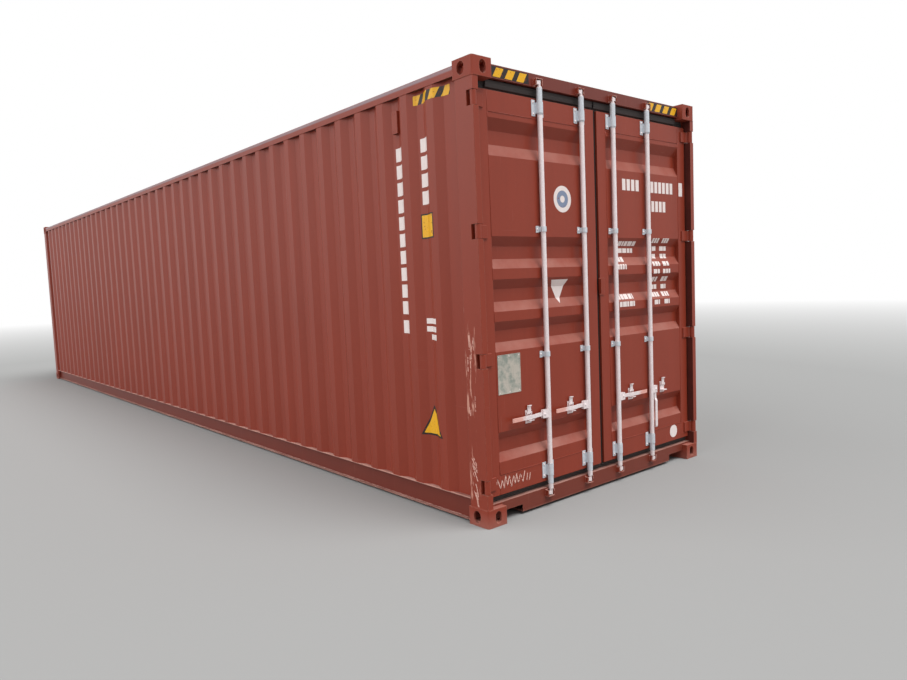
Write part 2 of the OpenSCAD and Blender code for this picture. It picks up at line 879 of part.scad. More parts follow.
// Cranked blade from its barrel onto the leaf
module hinge_blade(z) {
  h = notch_h - 2 * barrel_gap;
  r = barrel_r;
  v1 = leaf_v - blade_t;
  v0 = v1 - 12;
  translate([0, 0, z - h / 2])
    difference() {
      union() {
        translate([-pin_v, pin_u, 0]) cylinder(h = h, r = r);
        upright(plan_points([
          [pin_u, v0], [pin_u + 0.9 * r, v0], [pin_u + 1.5 * r, v1], [pin_u + blade_l, v1],
          [pin_u + blade_l, leaf_v], [pin_u + 1.2 * r, leaf_v], [pin_u + 0.7 * r, v1], [pin_u, v1]
        ]), 4, h - 4);
      }
      translate([-pin_v, pin_u, -1]) cylinder(h = h + 2, r = pin_r + bore_gap);
    }
}

module leaf_hinges() {
  door_corner()
    for (z = hinge_zs)
      hinge_blade(z);
}

// Strap over a rod with a foot plate on each side
module guide(z, h, foot_h, foot_w) {
  r = rod_r + 0.6;
  w = rod_r + guide_wall;
  difference() {
    union() {
      translate([-rod_v, 0, z - h / 2]) cylinder(h = h, r = w);
      box(-leaf_v, -rod_v, -w, w, z - h / 2, z + h / 2);
    }
    translate([-rod_v, 0, z - h / 2 - 1]) cylinder(h = h + 2, r = r);
    box(-leaf_v + foot_t, -rod_v, -r, r, z - h / 2 - 1, z + h / 2 + 1);
  }
  for (s = [-1, 1])
    box(-leaf_v, -leaf_v + foot_t, s > 0 ? w - 1 : -foot_w / 2, s > 0 ? foot_w / 2 : 1 - w,
        z - foot_h / 2, z + foot_h / 2);
}

// Rod guides: height, height of the strap, height and width of its feet
leaf_h = leaf_z1 - leaf_z0;
guide_list = [
  [leaf_z0 + 79, 70, 108, guide_w], [leaf_z0 + 0.342 * leaf_h, 34, 44, guide_mid_w],
  [leaf_z0 + 0.668 * leaf_h, 34, 44, guide_mid_w], [leaf_z1 - 62, 70, 104, guide_w]
];

module leaf_guides() {
  for (y = [-rod_y_outer, -rod_y_inner])
    translate([half_l, y, 0])
      for (g = guide_list)
        guide(g[0], g[1], g[2], g[3]);
}

// Plate on the leaf with a shelf for the handle and two ears for the catch
module retainer(y) {
  w = retainer_w / 2;
  translate([half_l, y - retainer_in, handle_z]) {
    box(-leaf_v, -leaf_v + foot_t, -w, w, -retainer_h / 2, retainer_h / 2);
    box(-leaf_v, -shelf_v, -w + 4, w - 4, -handle_h, -handle_h + 6);
    for (s = [-1, 1])
      difference() {
        box(-leaf_v, -leaf_v + 16, s * (w - 7) - 3, s * (w - 7) + 3, catch_up - 10, catch_up + 10);
        translate([-catch_v, -w - 2, catch_up]) rotate([-90, 0, 0])
          cylinder(h = 2 * w + 4, r = catch_pin_r + 0.3);
      }
  }
}

module leaf_retainers() {
  retainer(-rod_y_outer);
  retainer(-rod_y_inner);
}

module door_left_frame() {
  color(steel_red) leaf_frame();
}

module door_right_frame() {
  color(steel_red) {
    mirror([0, 1, 0]) leaf_frame();
    translate([half_l - leaf_v, 2, meeting_z]) {
      box(0, 6, 0, meeting_w, -meeting_h / 2, meeting_h / 2);
      box(0, 22, 0, 6, -meeting_h / 2 + 10, meeting_h / 2 - 10);
    }
  }
}

module door_left_panel() {
  color(steel_red) leaf_panel();
}

module door_right_panel() {
  color(steel_red) mirror([0, 1, 0]) leaf_panel();
}

module door_left_gasket() {
  color(rubber) leaf_gasket();
}

module door_right_gasket() {
  color(rubber) mirror([0, 1, 0]) leaf_gasket();
}

module door_left_hinges() {
  color(steel_red) leaf_hinges();
}

module door_right_hinges() {
  color(steel_red) mirror([0, 1, 0]) leaf_hinges();
}

module door_left_rod_guides() {
  color(zinc) leaf_guides();
}

module door_right_rod_guides() {
  color(zinc) mirror([0, 1, 0]) leaf_guides();
}

module door_left_retainers() {
  color(zinc) leaf_retainers();
}

module door_right_retainers() {
  color(zinc) mirror([0, 1, 0]) leaf_retainers();
}

// Rod with its handle side towards -Y
module lock_rod(y) {
  ear = 3;
  translate([half_l - rod_v, y, 0]) {
    translate([0, 0, rod_z0 + 40]) cylinder(h = rod_z1 - rod_z0 - 80, r = rod_r);
    for (e = [0, 1])
      translate([0, 0, e == 0 ? rod_z0 : rod_z1]) mirror([0, 0, e]) {
        cylinder(h = 60, r = rod_tip_r);
        box(-cam_t / 2, cam_t / 2, -cam_reach, 0, 2, 2 + cam_h);
      }
    for (s = [-1, 1])
      difference() {
        box(s * handle_t - ear, s * handle_t + ear, -handle_pivot - 18, -10, handle_z - 28, handle_z + 28);
        translate([-20, -handle_pivot, handle_z]) rotate([0, 90, 0]) cylinder(h = 40, r = 5);
      }
    translate([-14, -handle_pivot, handle_z]) rotate([0, 90, 0]) cylinder(h = 28, r = 6);
  }
}

// Flat handle turned down on its pivot from lying towards -Y, bent away from the leaf
module handle(y, down) {
  t = handle_t / 2;
  b = handle_bend;
  knee = 72;
  end = handle_l - handle_pivot;
  translate([half_l - rod_v, y - handle_pivot, handle_z]) rotate([down, 0, 0])
    difference() {
      union() {
        translate([0, 0, -handle_h / 2])
          linear_extrude(handle_h)
            polygon([
              [-t, 0], [t, 0], [t, -knee], [t + b, -knee - 22], [t + b, -end + 10], [t + b - 6, -end],
              [t + b - 8, -end], [t + b - 8, -knee - 22], [-t, -knee - 2]
            ]);
        translate([-t, 0, 0]) rotate([0, 90, 0]) cylinder(h = handle_t, r = 15);
      }
      translate([-10, 0, 0]) rotate([0, 90, 0]) cylinder(h = 20, r = 6.3);
    }
}

// Hook that drops over the handle, drawn raised
module catch(y) {
  w = 16;
  h = 54;
  t = 4.5;
  translate([half_l - catch_v, y - retainer_in, handle_z + catch_up]) {
    translate([0, -25, 0]) rotate([-90, 0, 0]) cylinder(h = 50, r = catch_pin_r);
    translate([0, -w, 0]) rotate([-90, 0, 0]) cylinder(h = 2 * w, r = 5);
    box(0, t, -w, w, 0, h);
    box(0, 14, -w, w, h - 5, h);
  }
}

module lock_rod_left_outer() {
  color(zinc) lock_rod(-rod_y_outer);
}

module lock_rod_left_inner() {
  color(zinc) lock_rod(-rod_y_inner);
}

module lock_rod_right_inner() {
  color(zinc) mirror([0, 1, 0]) lock_rod(-rod_y_inner);
}

module lock_rod_right_outer() {
  color(zinc) mirror([0, 1, 0]) lock_rod(-rod_y_outer);
}

module handle_left_outer() {
  color(zinc) handle(-rod_y_outer, 0);
}

module handle_left_inner() {
  color(zinc) handle(-rod_y_inner, 0);
}

module handle_right_inner() {
  color(zinc) mirror([0, 1, 0]) handle(-rod_y_inner, 0);
}

module handle_right_outer() {
  color(zinc) mirror([0, 1, 0]) handle(-rod_y_outer, hang_angle);
}

module catch_left_outer() {
  color(zinc) catch(-rod_y_outer);
}

module catch_left_inner() {
  color(zinc) catch(-rod_y_inner);
}

module catch_right_inner() {
  color(zinc) mirror([0, 1, 0]) catch(-rod_y_inner);
}

module catch_right_outer() {
  color(zinc) mirror([0, 1, 0]) catch(-rod_y_outer);
}

corner_castings_bottom();
corner_castings_top();
rear_corner_posts();
front_corner_posts();
door_header();
door_sill();
front_header();
front_sill();
top_side_rails();
bottom_side_rails();
side_wall_left();
side_wall_right();
front_wall();
roof();
roof_corner_plates();
floor();
cross_members();
gooseneck_tunnel();
ventilators();
rod_keepers();
hinge_pins();
door_left_frame();
door_left_panel();
door_left_gasket();
door_left_hinges();
door_left_rod_guides();
door_left_retainers();
door_right_frame();
door_right_panel();
door_right_gasket();
door_right_hinges();
door_right_rod_guides();
door_right_retainers();
lock_rod_left_outer();
lock_rod_left_inner();
lock_rod_right_inner();
lock_rod_right_outer();
handle_left_outer();
handle_left_inner();
handle_right_inner();
handle_right_outer();
catch_left_outer();
catch_left_inner();
catch_right_inner();
catch_right_outer();
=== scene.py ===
"""Looks of a forty foot shipping container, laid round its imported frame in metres."""
import math
import random
from functools import cached_property, wraps

import bmesh
import bpy
from bpy.props import FloatProperty, FloatVectorProperty, PointerProperty
from bpy.types import Operator, Panel, PropertyGroup
from mathutils import Matrix, Vector
from mathutils.bvhtree import BVHTree


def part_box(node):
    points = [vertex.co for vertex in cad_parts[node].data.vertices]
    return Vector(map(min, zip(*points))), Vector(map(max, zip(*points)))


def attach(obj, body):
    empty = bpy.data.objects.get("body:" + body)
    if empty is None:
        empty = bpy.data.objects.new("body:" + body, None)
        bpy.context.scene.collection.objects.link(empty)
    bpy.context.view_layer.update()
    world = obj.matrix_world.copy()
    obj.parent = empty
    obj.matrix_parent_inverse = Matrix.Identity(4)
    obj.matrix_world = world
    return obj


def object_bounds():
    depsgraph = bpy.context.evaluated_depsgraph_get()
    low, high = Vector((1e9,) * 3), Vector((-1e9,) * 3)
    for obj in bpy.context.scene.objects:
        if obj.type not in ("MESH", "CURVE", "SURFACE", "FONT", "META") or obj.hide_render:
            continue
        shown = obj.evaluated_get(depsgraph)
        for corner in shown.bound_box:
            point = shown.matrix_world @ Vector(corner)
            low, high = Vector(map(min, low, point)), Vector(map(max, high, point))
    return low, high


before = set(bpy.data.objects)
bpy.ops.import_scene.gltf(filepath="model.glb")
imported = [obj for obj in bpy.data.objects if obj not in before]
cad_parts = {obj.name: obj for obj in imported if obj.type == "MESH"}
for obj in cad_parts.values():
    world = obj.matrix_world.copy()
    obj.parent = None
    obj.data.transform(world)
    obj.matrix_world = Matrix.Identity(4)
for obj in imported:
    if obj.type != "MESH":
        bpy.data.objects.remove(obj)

bl_info = {
    "name": "Shipping Container Finish",
    "version": (1, 0, 0),
    "blender": (4, 5, 0),
    "location": "3D View > Sidebar > Container",
    "description": "Finishes, welds, fasteners, seals and marks of a shipping container",
    "category": "Object",
}

CAD_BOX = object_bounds()

# Directions, and the two sides across the container
ALONG, ACROSS, UP = (1, 0, 0), (0, 1, 0), (0, 0, 1)
SIDES = (-1, 1)
DOORS = (("left", -1), ("right", 1))

# Places of the frame, from the nodes' own boxes
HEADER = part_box("door_header")
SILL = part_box("door_sill")
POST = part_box("rear_corner_posts")
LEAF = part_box("door_left_frame")
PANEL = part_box("door_left_panel")
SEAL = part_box("door_left_gasket")
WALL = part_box("side_wall_left")
TOP_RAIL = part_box("top_side_rails")
LOW_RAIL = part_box("bottom_side_rails")
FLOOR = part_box("floor")
LEAF_X = LEAF[1].x
HEADER_X = HEADER[1].x

# Places that the boxes don't give
CASTING_INNER = 1.057
CASTING_TOP = 0.118
FRONT_X = -6.0875
PANEL_OUTER, PANEL_INNER = 1.056, 0.118
SEAL_OUTER, SEAL_INNER = 1.163, 0.008
HINGES_Z = (0.260, 1.0567, 1.8533, 2.650)
ROOF_Z = 2.870
BOARD = 0.389

# Lock rods from left to right: name, place across the doors and side
RODS = (("left_outer", -0.602, -1), ("left_inner", -0.178, -1),
        ("right_inner", 0.178, 1), ("right_outer", 0.602, 1))
ROD_X = 6.068
HANDLE_Z = 0.646


def srgb(red, green, blue):
    """A colour as it looks on a screen, 0 to 255, as the linear one that Blender works in."""
    out = []
    for value in (red, green, blue):
        value /= 255.0
        out.append(value / 12.92 if value <= 0.04045 else ((value + 0.055) / 1.055) ** 2.4)
    return (*out, 1.0)


# Settings

class ContainerPaintSettings(PropertyGroup):
    """Colours of the container's finishes."""

    outside: FloatVectorProperty(
        name="Outside paint", description="Red oxide paint of the outside", subtype="COLOR",
        size=4, min=0.0, max=1.0, default=srgb(139, 55, 37))
    inside: FloatVectorProperty(
        name="Inside paint", description="Pale grey paint of the inside", subtype="COLOR",
        size=4, min=0.0, max=1.0, default=srgb(168, 172, 170))
    zinc: FloatVectorProperty(
        name="Galvanised gear", description="Zinc coat of rods, handles and guides",
        subtype="COLOR", size=4, min=0.0, max=1.0, default=srgb(242, 228, 228))
    marks: FloatVectorProperty(
        name="White marks", description="White paint of the plain marks", subtype="COLOR",
        size=4, min=0.0, max=1.0, default=srgb(236, 222, 218))
    yellow: FloatVectorProperty(
        name="Yellow", description="Yellow of the stripes and patches", subtype="COLOR",
        size=4, min=0.0, max=1.0, default=srgb(236, 176, 32))


class ContainerDetailSettings(PropertyGroup):
    """Sizes of the small pieces."""

    bead: FloatProperty(
        name="Weld bead", description="Radius of the weld beads", subtype="DISTANCE",
        unit="LENGTH", min=0.001, max=0.006, default=0.0032)
    rivet: FloatProperty(
        name="Rivet head", description="Radius of the rivet heads on the locking gear",
        subtype="DISTANCE", unit="LENGTH", min=0.004, max=0.012, default=0.0075)
    mark_lift: FloatProperty(
        name="Mark thickness", description="How far a mark stands proud of the paint",
        subtype="DISTANCE", unit="LENGTH", min=0.0002, max=0.001, default=0.0005)


class ContainerStageSettings(PropertyGroup):
    """Floor, lights and camera."""

    floor_tone: FloatProperty(
        name="Floor tone", description="Brightness of the plain floor", min=0.1, max=1.0,
        default=0.31)
    sky: FloatProperty(
        name="Soft light", description="Strength of the light from all round", min=0.0,
        max=2.0, default=0.55)
    lens: FloatProperty(
        name="Lens", description="Focal length of the camera in millimetres",
        subtype="DISTANCE_CAMERA", min=10.0, max=100.0, default=27.91)


SETTINGS = {
    "container_paint": ContainerPaintSettings,
    "container_detail": ContainerDetailSettings,
    "container_stage": ContainerStageSettings,
}


def colour_of(value):
    """The paint setting of that name, or a colour given as it looks on a screen."""
    if isinstance(value, str):
        return tuple(getattr(bpy.context.scene.container_paint, value))
    return srgb(*value)


# Node helpers

class NodeSheet:
    """Adds nodes to one tree, in rows of eight, and joins them."""

    def __init__(self, tree):
        tree.nodes.clear()
        self.tree = tree
        self.count = 0

    def add(self, kind, inputs=None, **options):
        """A node with its options, and its inputs by name or number."""
        node = self.tree.nodes.new(kind)
        node.location = (self.count % 8 * 190, -(self.count // 8) * 230)
        self.count += 1
        for name, value in options.items():
            setattr(node, name, value)
        for name, value in (inputs or {}).items():
            self.feed(node.inputs[name], value)
        return node

    def feed(self, socket, value):
        if isinstance(value, bpy.types.NodeSocket):
            self.tree.links.new(value, socket)
        else:
            socket.default_value = value

    @cached_property
    def coordinates(self):
        return self.add("ShaderNodeTexCoord").outputs

    @property
    def where(self):
        """The place on the piece, in the piece's own coordinates."""
        return self.coordinates["Object"]

    def split(self, vector):
        return self.add("ShaderNodeSeparateXYZ", {0: vector}).outputs

    def grey(self, value):
        return self.add("ShaderNodeCombineColor", {0: value, 1: value, 2: value}).outputs[0]

    def math(self, operation, *values):
        return self.add("ShaderNodeMath", dict(enumerate(values)), operation=operation).outputs[0]

    def vector(self, operation, *values):
        node = self.add("ShaderNodeVectorMath", dict(enumerate(values)), operation=operation)
        return node.outputs["Value" if operation in ("DOT_PRODUCT", "LENGTH") else "Vector"]

    def times(self, value, *factors):
        for factor in factors:
            value = self.math("MULTIPLY", value, factor)
        return value

    def plus(self, base, value, factor):
        """The base with a share of another value on top."""
        return self.math("MULTIPLY_ADD", value, factor, base)

    def mix(self, factor, first, second, blend="MIX"):
        return self.add("ShaderNodeMix", {0: factor, 6: first, 7: second}, data_type="RGBA",
                        blend_type=blend).outputs[2]

    def step(self, value, low, high, out_low=0.0, out_high=1.0):
        """A value brought from one range to another, and held within it."""
        return self.add("ShaderNodeMapRange", {
            "Value": value, "From Min": low, "From Max": high,
            "To Min": out_low, "To Max": out_high}).outputs[0]

    def noise(self, scale, detail, rough, twist=0.0, vector=None):
        """Noise of one scale, or drawn out by a factor for each axis."""
        vector = self.where if vector is None else vector
        if isinstance(scale, tuple):
            vector = self.vector("MULTIPLY", vector, scale)
            scale = 1.0
        return self.add("ShaderNodeTexNoise", {
            "Vector": vector, "Scale": scale, "Detail": detail, "Roughness": rough,
            "Distortion": twist}).outputs[0]


def effect(name, *outputs, **inputs):
    """Makes a function that lays nodes hand out a shader node group, which is built once.

    An input's value gives its kind: a number, three for a direction or four for a colour."""
    def wrap(build):
        @wraps(build)
        def group():
            tree = bpy.data.node_groups.get(name)
            if tree:
                return tree
            tree = bpy.data.node_groups.new(name, "ShaderNodeTree")
            for label, value in inputs.items():
                size = len(value) if isinstance(value, tuple) else 1
                kind = {1: "Float", 3: "Vector", 4: "Color"}[size]
                socket = tree.interface.new_socket(label, in_out="INPUT",
                                                   socket_type="NodeSocket" + kind)
                socket.default_value = value
            for label in outputs:
                kind = {"Colour": "Color", "Normal": "Vector"}.get(label, "Float")
                tree.interface.new_socket(label, in_out="OUTPUT", socket_type="NodeSocket" + kind)
            sheet = NodeSheet(tree)
            given = sheet.add("NodeGroupInput").outputs
            sheet.add("NodeGroupOutput", build(sheet, given))
            return tree
        return group
    return wrap


# Effects that the materials share

@effect("Paint tone", "Colour", "Skin", "Shift", Colour=(0.5, 0.5, 0.5, 1), Clouds=0.3, Runs=0.2)
def paint_tone(sheet, given):
    """Slow changes of tone, faint runs downwards and the skin of sprayed paint."""
    clouds, runs, fine = (sheet.math("SUBTRACT", noise, 0.5) for noise in (
        sheet.noise(0.9, 4.0, 0.6, 0.4), sheet.noise((9.0, 9.0, 0.45), 4.0, 0.6),
        sheet.noise(38.0, 3.0, 0.6)))
    shift = sheet.plus(sheet.times(clouds, given["Clouds"]), runs, given["Runs"])
    shift = sheet.plus(shift, fine, 0.10)
    grey = sheet.grey(sheet.math("ADD", shift, 1.0))
    return {"Colour": sheet.mix(1.0, given["Colour"], grey, "MULTIPLY"),
            "Skin": sheet.noise(420.0, 2.0, 0.5), "Shift": shift}


@effect("Facing", "Mask", Direction=(0, 0, 1), From=0.5)
def facing(sheet, given):
    """Mask of the faces that look along a direction."""
    along = sheet.vector("DOT_PRODUCT", sheet.coordinates["Normal"], given["Direction"])
    return {"Mask": sheet.step(along, given["From"], sheet.math("ADD", given["From"], 0.05))}


@effect("Worn lip", "Mask", Height=0.17, Width=0.006, Amount=0.8)
def worn_and_lit_lip(sheet, given):
    """Pale strip along the edge of a rail: dust and wear, and a painted highlight where the edge
    catches the light.
    """
    _, across, height = sheet.split(sheet.where)
    edge = sheet.math("SUBTRACT", height, given["Height"])
    band = sheet.step(sheet.math("ABSOLUTE", edge), given["Width"],
                      sheet.times(given["Width"], 0.6))
    out = sheet.step(sheet.math("ABSOLUTE", across), 1.200, 1.206)
    cloud = sheet.step(sheet.noise((2.5, 8.0, 8.0), 4.0, 0.6), 0.25, 0.6, 0.55, 1.0)
    return {"Mask": sheet.times(band, out, cloud, given["Amount"])}


@effect("Post scrapes", "Mask")
def post_scrapes(sheet, given):
    """Patches scraped off one post at the height of a trailer, and fewer below."""
    along, across, height = sheet.split(sheet.where)
    outer = sheet.times(sheet.step(across, -1.20, -1.21), sheet.step(along, 6.040, 6.022))
    zone = sheet.times(sheet.step(height, 0.52, 0.75), sheet.step(height, 1.42, 1.12))
    low = sheet.times(sheet.step(height, 0.14, 0.20), sheet.step(height, 0.55, 0.40))
    zone = sheet.plus(zone, low, 0.7)
    patch = sheet.noise((34.0, 34.0, 5.0), 4.0, 0.6, 0.4)
    grain = sheet.noise((160.0, 160.0, 30.0), 3.0, 0.6)
    level = sheet.plus(sheet.plus(patch, grain, 0.30), zone, 0.14)
    return {"Mask": sheet.times(sheet.step(level, 0.80, 0.90), sheet.step(zone, 0.0, 0.4), outer,
                                0.85)}


@effect("Rust spots", "Mask", "Colour", "Grain", Scale=14.0, Amount=0.2)
def rust_spots(sheet, given):
    """Small spots and runs of rust, more of them as Amount rises."""
    spots = sheet.noise(given["Scale"], 6.0, 0.7, 0.3)
    level = sheet.plus(spots, sheet.noise(1.7, 3.0, 0.6), 0.35)
    level = sheet.plus(level, sheet.noise((30.0, 30.0, 1.6), 3.0, 0.6), 0.12)
    edge = sheet.math("SUBTRACT", 1.16, given["Amount"])
    grain = sheet.noise(60.0, 4.0, 0.6)
    colour = sheet.mix(sheet.step(grain, 0.35, 0.65), srgb(74, 38, 22), srgb(132, 72, 38))
    return {"Mask": sheet.step(level, edge, sheet.math("ADD", edge, 0.05)), "Colour": colour,
            "Grain": grain}


@effect("Worn edges", "Mask", "Normal", Radius=0.003)
def worn_edges(sheet, given):
    """Sharp edges found by a small bevel: a mask of the wear and the softened normal."""
    soft, wide = (sheet.add("ShaderNodeBevel", {"Radius": radius}, samples=4).outputs[0]
                  for radius in (given["Radius"], sheet.times(given["Radius"], 2.2)))
    flat = sheet.add("ShaderNodeNewGeometry").outputs["True Normal"]
    bend = sheet.math("SUBTRACT", 1.0, sheet.vector("DOT_PRODUCT", wide, flat))
    level = sheet.times(bend, sheet.step(sheet.noise(34.0, 4.0, 0.65), 0.42, 0.66))
    return {"Mask": sheet.step(level, 0.035, 0.12), "Normal": soft}


@effect("Dust film", "Mask", Amount=0.4, Height=0.12)
def dust_and_sheen_film(sheet, given):
    """Pale dust on faces that look up and near the ground; on the faces that look up it is also a
    painted sheen of the bright sky.
    """
    upward = sheet.vector("DOT_PRODUCT", sheet.coordinates["Normal"], UP)
    low = sheet.step(sheet.split(sheet.where)[2], given["Height"], 0.0)
    film = sheet.math("MAXIMUM", sheet.step(upward, 0.15, 0.8), sheet.times(low, 0.7))
    cloud = sheet.step(sheet.noise(3.2, 5.0, 0.65), 0.3, 0.75)
    return {"Mask": sheet.times(film, sheet.plus(0.2, cloud, 0.8), given["Amount"])}


@effect("Hinge grime", "Mask", Amount=0.8)
def hinge_recess_shade(sheet, given):
    """Painted shade: a dark colour on the post faces that look at the door leaves, where the recess
    lies in shadow.
    """
    along, across, _ = sheet.split(sheet.where)
    normal = sheet.split(sheet.coordinates["Normal"])[1]
    inward = sheet.step(sheet.times(normal, across), -0.3, -0.8)
    cloud = sheet.step(sheet.noise(6.0, 4.0, 0.6), 0.2, 0.6, 0.75, 1.0)
    return {"Mask": sheet.times(inward, sheet.step(along, 6.012, 6.03), cloud, given["Amount"])}


@effect("Fine scuffs", "Mask", Amount=0.5)
def fine_scuffs(sheet, given):
    """Thin rubbed lines, standing or lying."""
    standing = sheet.step(sheet.noise((120.0, 120.0, 3.0), 2.0, 0.5, 0.2), 0.69, 0.74)
    lying = sheet.step(sheet.noise((3.0, 3.0, 140.0), 2.0, 0.5, 0.2), 0.72, 0.77)
    zone = sheet.step(sheet.noise(1.1, 3.0, 0.6), 0.45, 0.75)
    return {"Mask": sheet.times(sheet.math("MAXIMUM", standing, lying), zone, given["Amount"])}


# Materials

class Coat(NodeSheet):
    """One material on a Principled shader, with its colour and masks gathered in order."""

    def __init__(self, name, rough, metal=0.0):
        self.material = bpy.data.materials.new(name)
        self.material.use_nodes = True
        super().__init__(self.material.node_tree)
        self.shader = self.add("ShaderNodeBsdfPrincipled",
                               {"Metallic": metal, "Specular IOR Level": 0.3})
        self.add("ShaderNodeOutputMaterial", {0: self.shader.outputs[0]})
        self.rough = rough
        self.colour = self.height = self.normal = None

    def use(self, group, **inputs):
        return self.add("ShaderNodeGroup", inputs, node_tree=group()).outputs

    def cover(self, mask, colour, rough=None):
        """Lays a colour over what is there, where the mask is set."""
        self.colour = self.mix(mask, self.colour, colour)
        if rough is not None:
            self.rough = self.step(mask, 0.0, 1.0, self.rough, rough)

    def raise_by(self, value, amount):
        lifted = self.times(value, amount)
        self.height = lifted if self.height is None else self.math("ADD", self.height, lifted)

    def tone(self, colour, clouds, runs):
        """Begins the colour with its changes of tone."""
        outputs = self.use(paint_tone, Colour=colour, Clouds=clouds, Runs=runs)
        self.colour = outputs["Colour"]
        return outputs

    def edges(self, radius):
        """Softens the edges, and gives the mask of their wear."""
        outputs = self.use(worn_edges, Radius=radius)
        self.normal = outputs["Normal"]
        return outputs["Mask"]

    def rust(self, scale, amount):
        outputs = self.use(rust_spots, Scale=scale, Amount=amount)
        self.cover(outputs["Mask"], outputs["Colour"], 0.85)
        return outputs

    # Pale dust on faces that look up and near the ground, which on the faces that look up is also a
    # painted sky sheen
    def dust(self, amount, height, colour, rough):
        self.cover(self.use(dust_and_sheen_film, Amount=amount, Height=height)["Mask"], srgb(*colour), rough)

    def done(self):
        self.feed(self.shader.inputs["Base Color"], self.colour)
        self.feed(self.shader.inputs["Roughness"], self.rough)
        if self.height is not None:
            bump = self.add("ShaderNodeBump", {"Height": self.height, "Strength": 1.0,
                                               "Distance": 1.0})
            if self.normal is not None:
                self.feed(bump.inputs["Normal"], self.normal)
            self.normal = bump.outputs[0]
        if self.normal is not None:
            self.feed(self.shader.inputs["Normal"], self.normal)
        return self.material


def painted(name, colour, inside=None, direction=UP, begin=0.0, clouds=0.22, runs=0.16, rust=0.1,
            dust=0.3, dust_height=0.1, scuffs=0.35, wear=0.5, rough=0.4, radius=0.003,
            bare=(150, 92, 74), grime=0.0, lip=None):
    """Sprayed paint on steel, with another colour on the faces that look one way: the inside paint,
    or a painted shade on the faces that look down.
    """
    coat = Coat(name, rough)
    base = colour
    # Another colour on the faces that look one way: inside paint, or a painted shade where a finish
    # gives a dark colour for them
    if inside:
        mask = coat.use(facing, Direction=direction, From=begin)["Mask"]
        base = coat.mix(mask, colour, colour_of(inside))
    tone = coat.tone(base, clouds, runs)
    coat.rough = coat.plus(rough, tone["Shift"], 0.35)
    coat.raise_by(tone["Skin"], 0.00006)
    pale = coat.mix(0.5, base, srgb(196, 150, 138))
    coat.cover(coat.use(fine_scuffs, Amount=scuffs)["Mask"], pale, 0.6)
    coat.cover(coat.times(coat.edges(radius), wear), srgb(*bare), 0.6)
    spots = coat.rust(13.0, rust)
    coat.raise_by(coat.times(spots["Mask"], spots["Grain"]), 0.0005)
    # Dust, and a painted sky sheen on the faces that look up
    coat.dust(dust, dust_height, (198, 158, 146), 0.75)
    # Pale lip of a rail: partly dust and wear, partly a painted highlight
    if lip:
        height, width, colour = lip
        coat.cover(coat.use(worn_and_lit_lip, Height=height, Width=width)["Mask"], srgb(*colour), 0.6)
    if grime:
        coat.cover(coat.use(post_scrapes)["Mask"], srgb(206, 148, 130), 0.75)
        # Painted shade: the post faces in the hinge recess are darkened where they look at the
        # leaves; the scrapes above are real wear
        coat.cover(coat.use(hinge_recess_shade, Amount=grime)["Mask"], srgb(60, 20, 16), 0.8)
    return coat.done()


def zinc_coat(name, colour, rust=0.06, rough=0.42, end=None):
    """Hot dipped zinc with its spangle, pale bloom and a little dirt.

    end is (place along Y, side) from where traces of paint cover a handle."""
    coat = Coat(name, rough, metal=0.2)
    cells = coat.add("ShaderNodeTexVoronoi", {"Vector": coat.where, "Scale": 150.0})
    spangle = coat.add("ShaderNodeSeparateColor", {0: cells.outputs["Color"]}).outputs[0]
    tone = coat.tone(colour, 0.12, 0.10)
    flake = coat.grey(coat.step(spangle, 0.0, 1.0, 0.93, 1.04))
    coat.colour = coat.mix(1.0, coat.colour, flake, "MULTIPLY")
    coat.rough = coat.step(spangle, 0.0, 1.0, rough - 0.05, rough + 0.07)
    bloom = coat.step(coat.noise(9.0, 5.0, 0.7), 0.56, 0.7)
    coat.cover(coat.times(bloom, 0.45), srgb(220, 214, 212), 0.7)
    if end:
        place, side = end
        along = coat.times(coat.split(coat.where)[1], side)
        ragged = coat.plus(along, coat.noise(60.0, 4.0, 0.6), 0.08)
        mask = coat.step(ragged, place * side + 0.27, place * side + 0.32, 0.0, 0.65)
        coat.cover(mask, srgb(226, 132, 104), 0.55)
    coat.edges(0.0015)
    coat.rust(30.0, rust)
    coat.dust(0.25, 0.12, (150, 138, 128), 0.7)
    coat.raise_by(tone["Skin"], 0.00004)
    return coat.done()


def rubber_coat(name, colour):
    """Matt door rubber with a fine grain and dust."""
    coat = Coat(name, 0.68)
    coat.tone(colour, 0.3, 0.2)
    coat.raise_by(coat.noise((260.0, 260.0, 260.0), 2.0, 0.5), 0.0001)
    coat.edges(0.0025)
    coat.dust(0.35, 0.3, (110, 96, 88), 0.85)
    return coat.done()


def timber_coat(name, colour):
    """Oiled plywood boards along the floor, darker below."""
    coat = Coat(name, 0.55)
    along, across, _ = coat.split(coat.where)
    board, ply = (coat.math("FLOOR", coat.math("DIVIDE", place, size))
                  for place, size in ((across, BOARD), (along, 2.44)))
    seed = coat.plus(coat.times(board, 3.1), ply, 7.3)
    offset = coat.add("ShaderNodeCombineXYZ", {0: seed, 1: seed, 2: seed}).outputs[0]
    drawn_out = coat.vector("MULTIPLY", coat.where, (1.2, 26.0, 26.0))
    grain = coat.noise(1.0, 6.0, 0.65, 1.2, coat.vector("ADD", drawn_out, offset))
    coat.colour = coat.mix(coat.step(grain, 0.32, 0.68), srgb(96, 58, 36), colour)
    shade = coat.step(coat.noise(1.0, 1.0, 0.5, vector=offset), 0.35, 0.65, 0.0, 0.35)
    coat.cover(shade, srgb(84, 52, 34))
    tracks = coat.noise((0.5, 7.0, 1.0), 4.0, 0.6)
    coat.cover(coat.step(tracks, 0.52, 0.75, 0.0, 0.55), srgb(62, 50, 42), 0.7)
    below = coat.use(facing, Direction=(0, 0, -1), From=0.5)["Mask"]
    coat.cover(below, srgb(46, 40, 36), 0.6)
    coat.edges(0.002)
    coat.raise_by(grain, 0.0006)
    return coat.done()


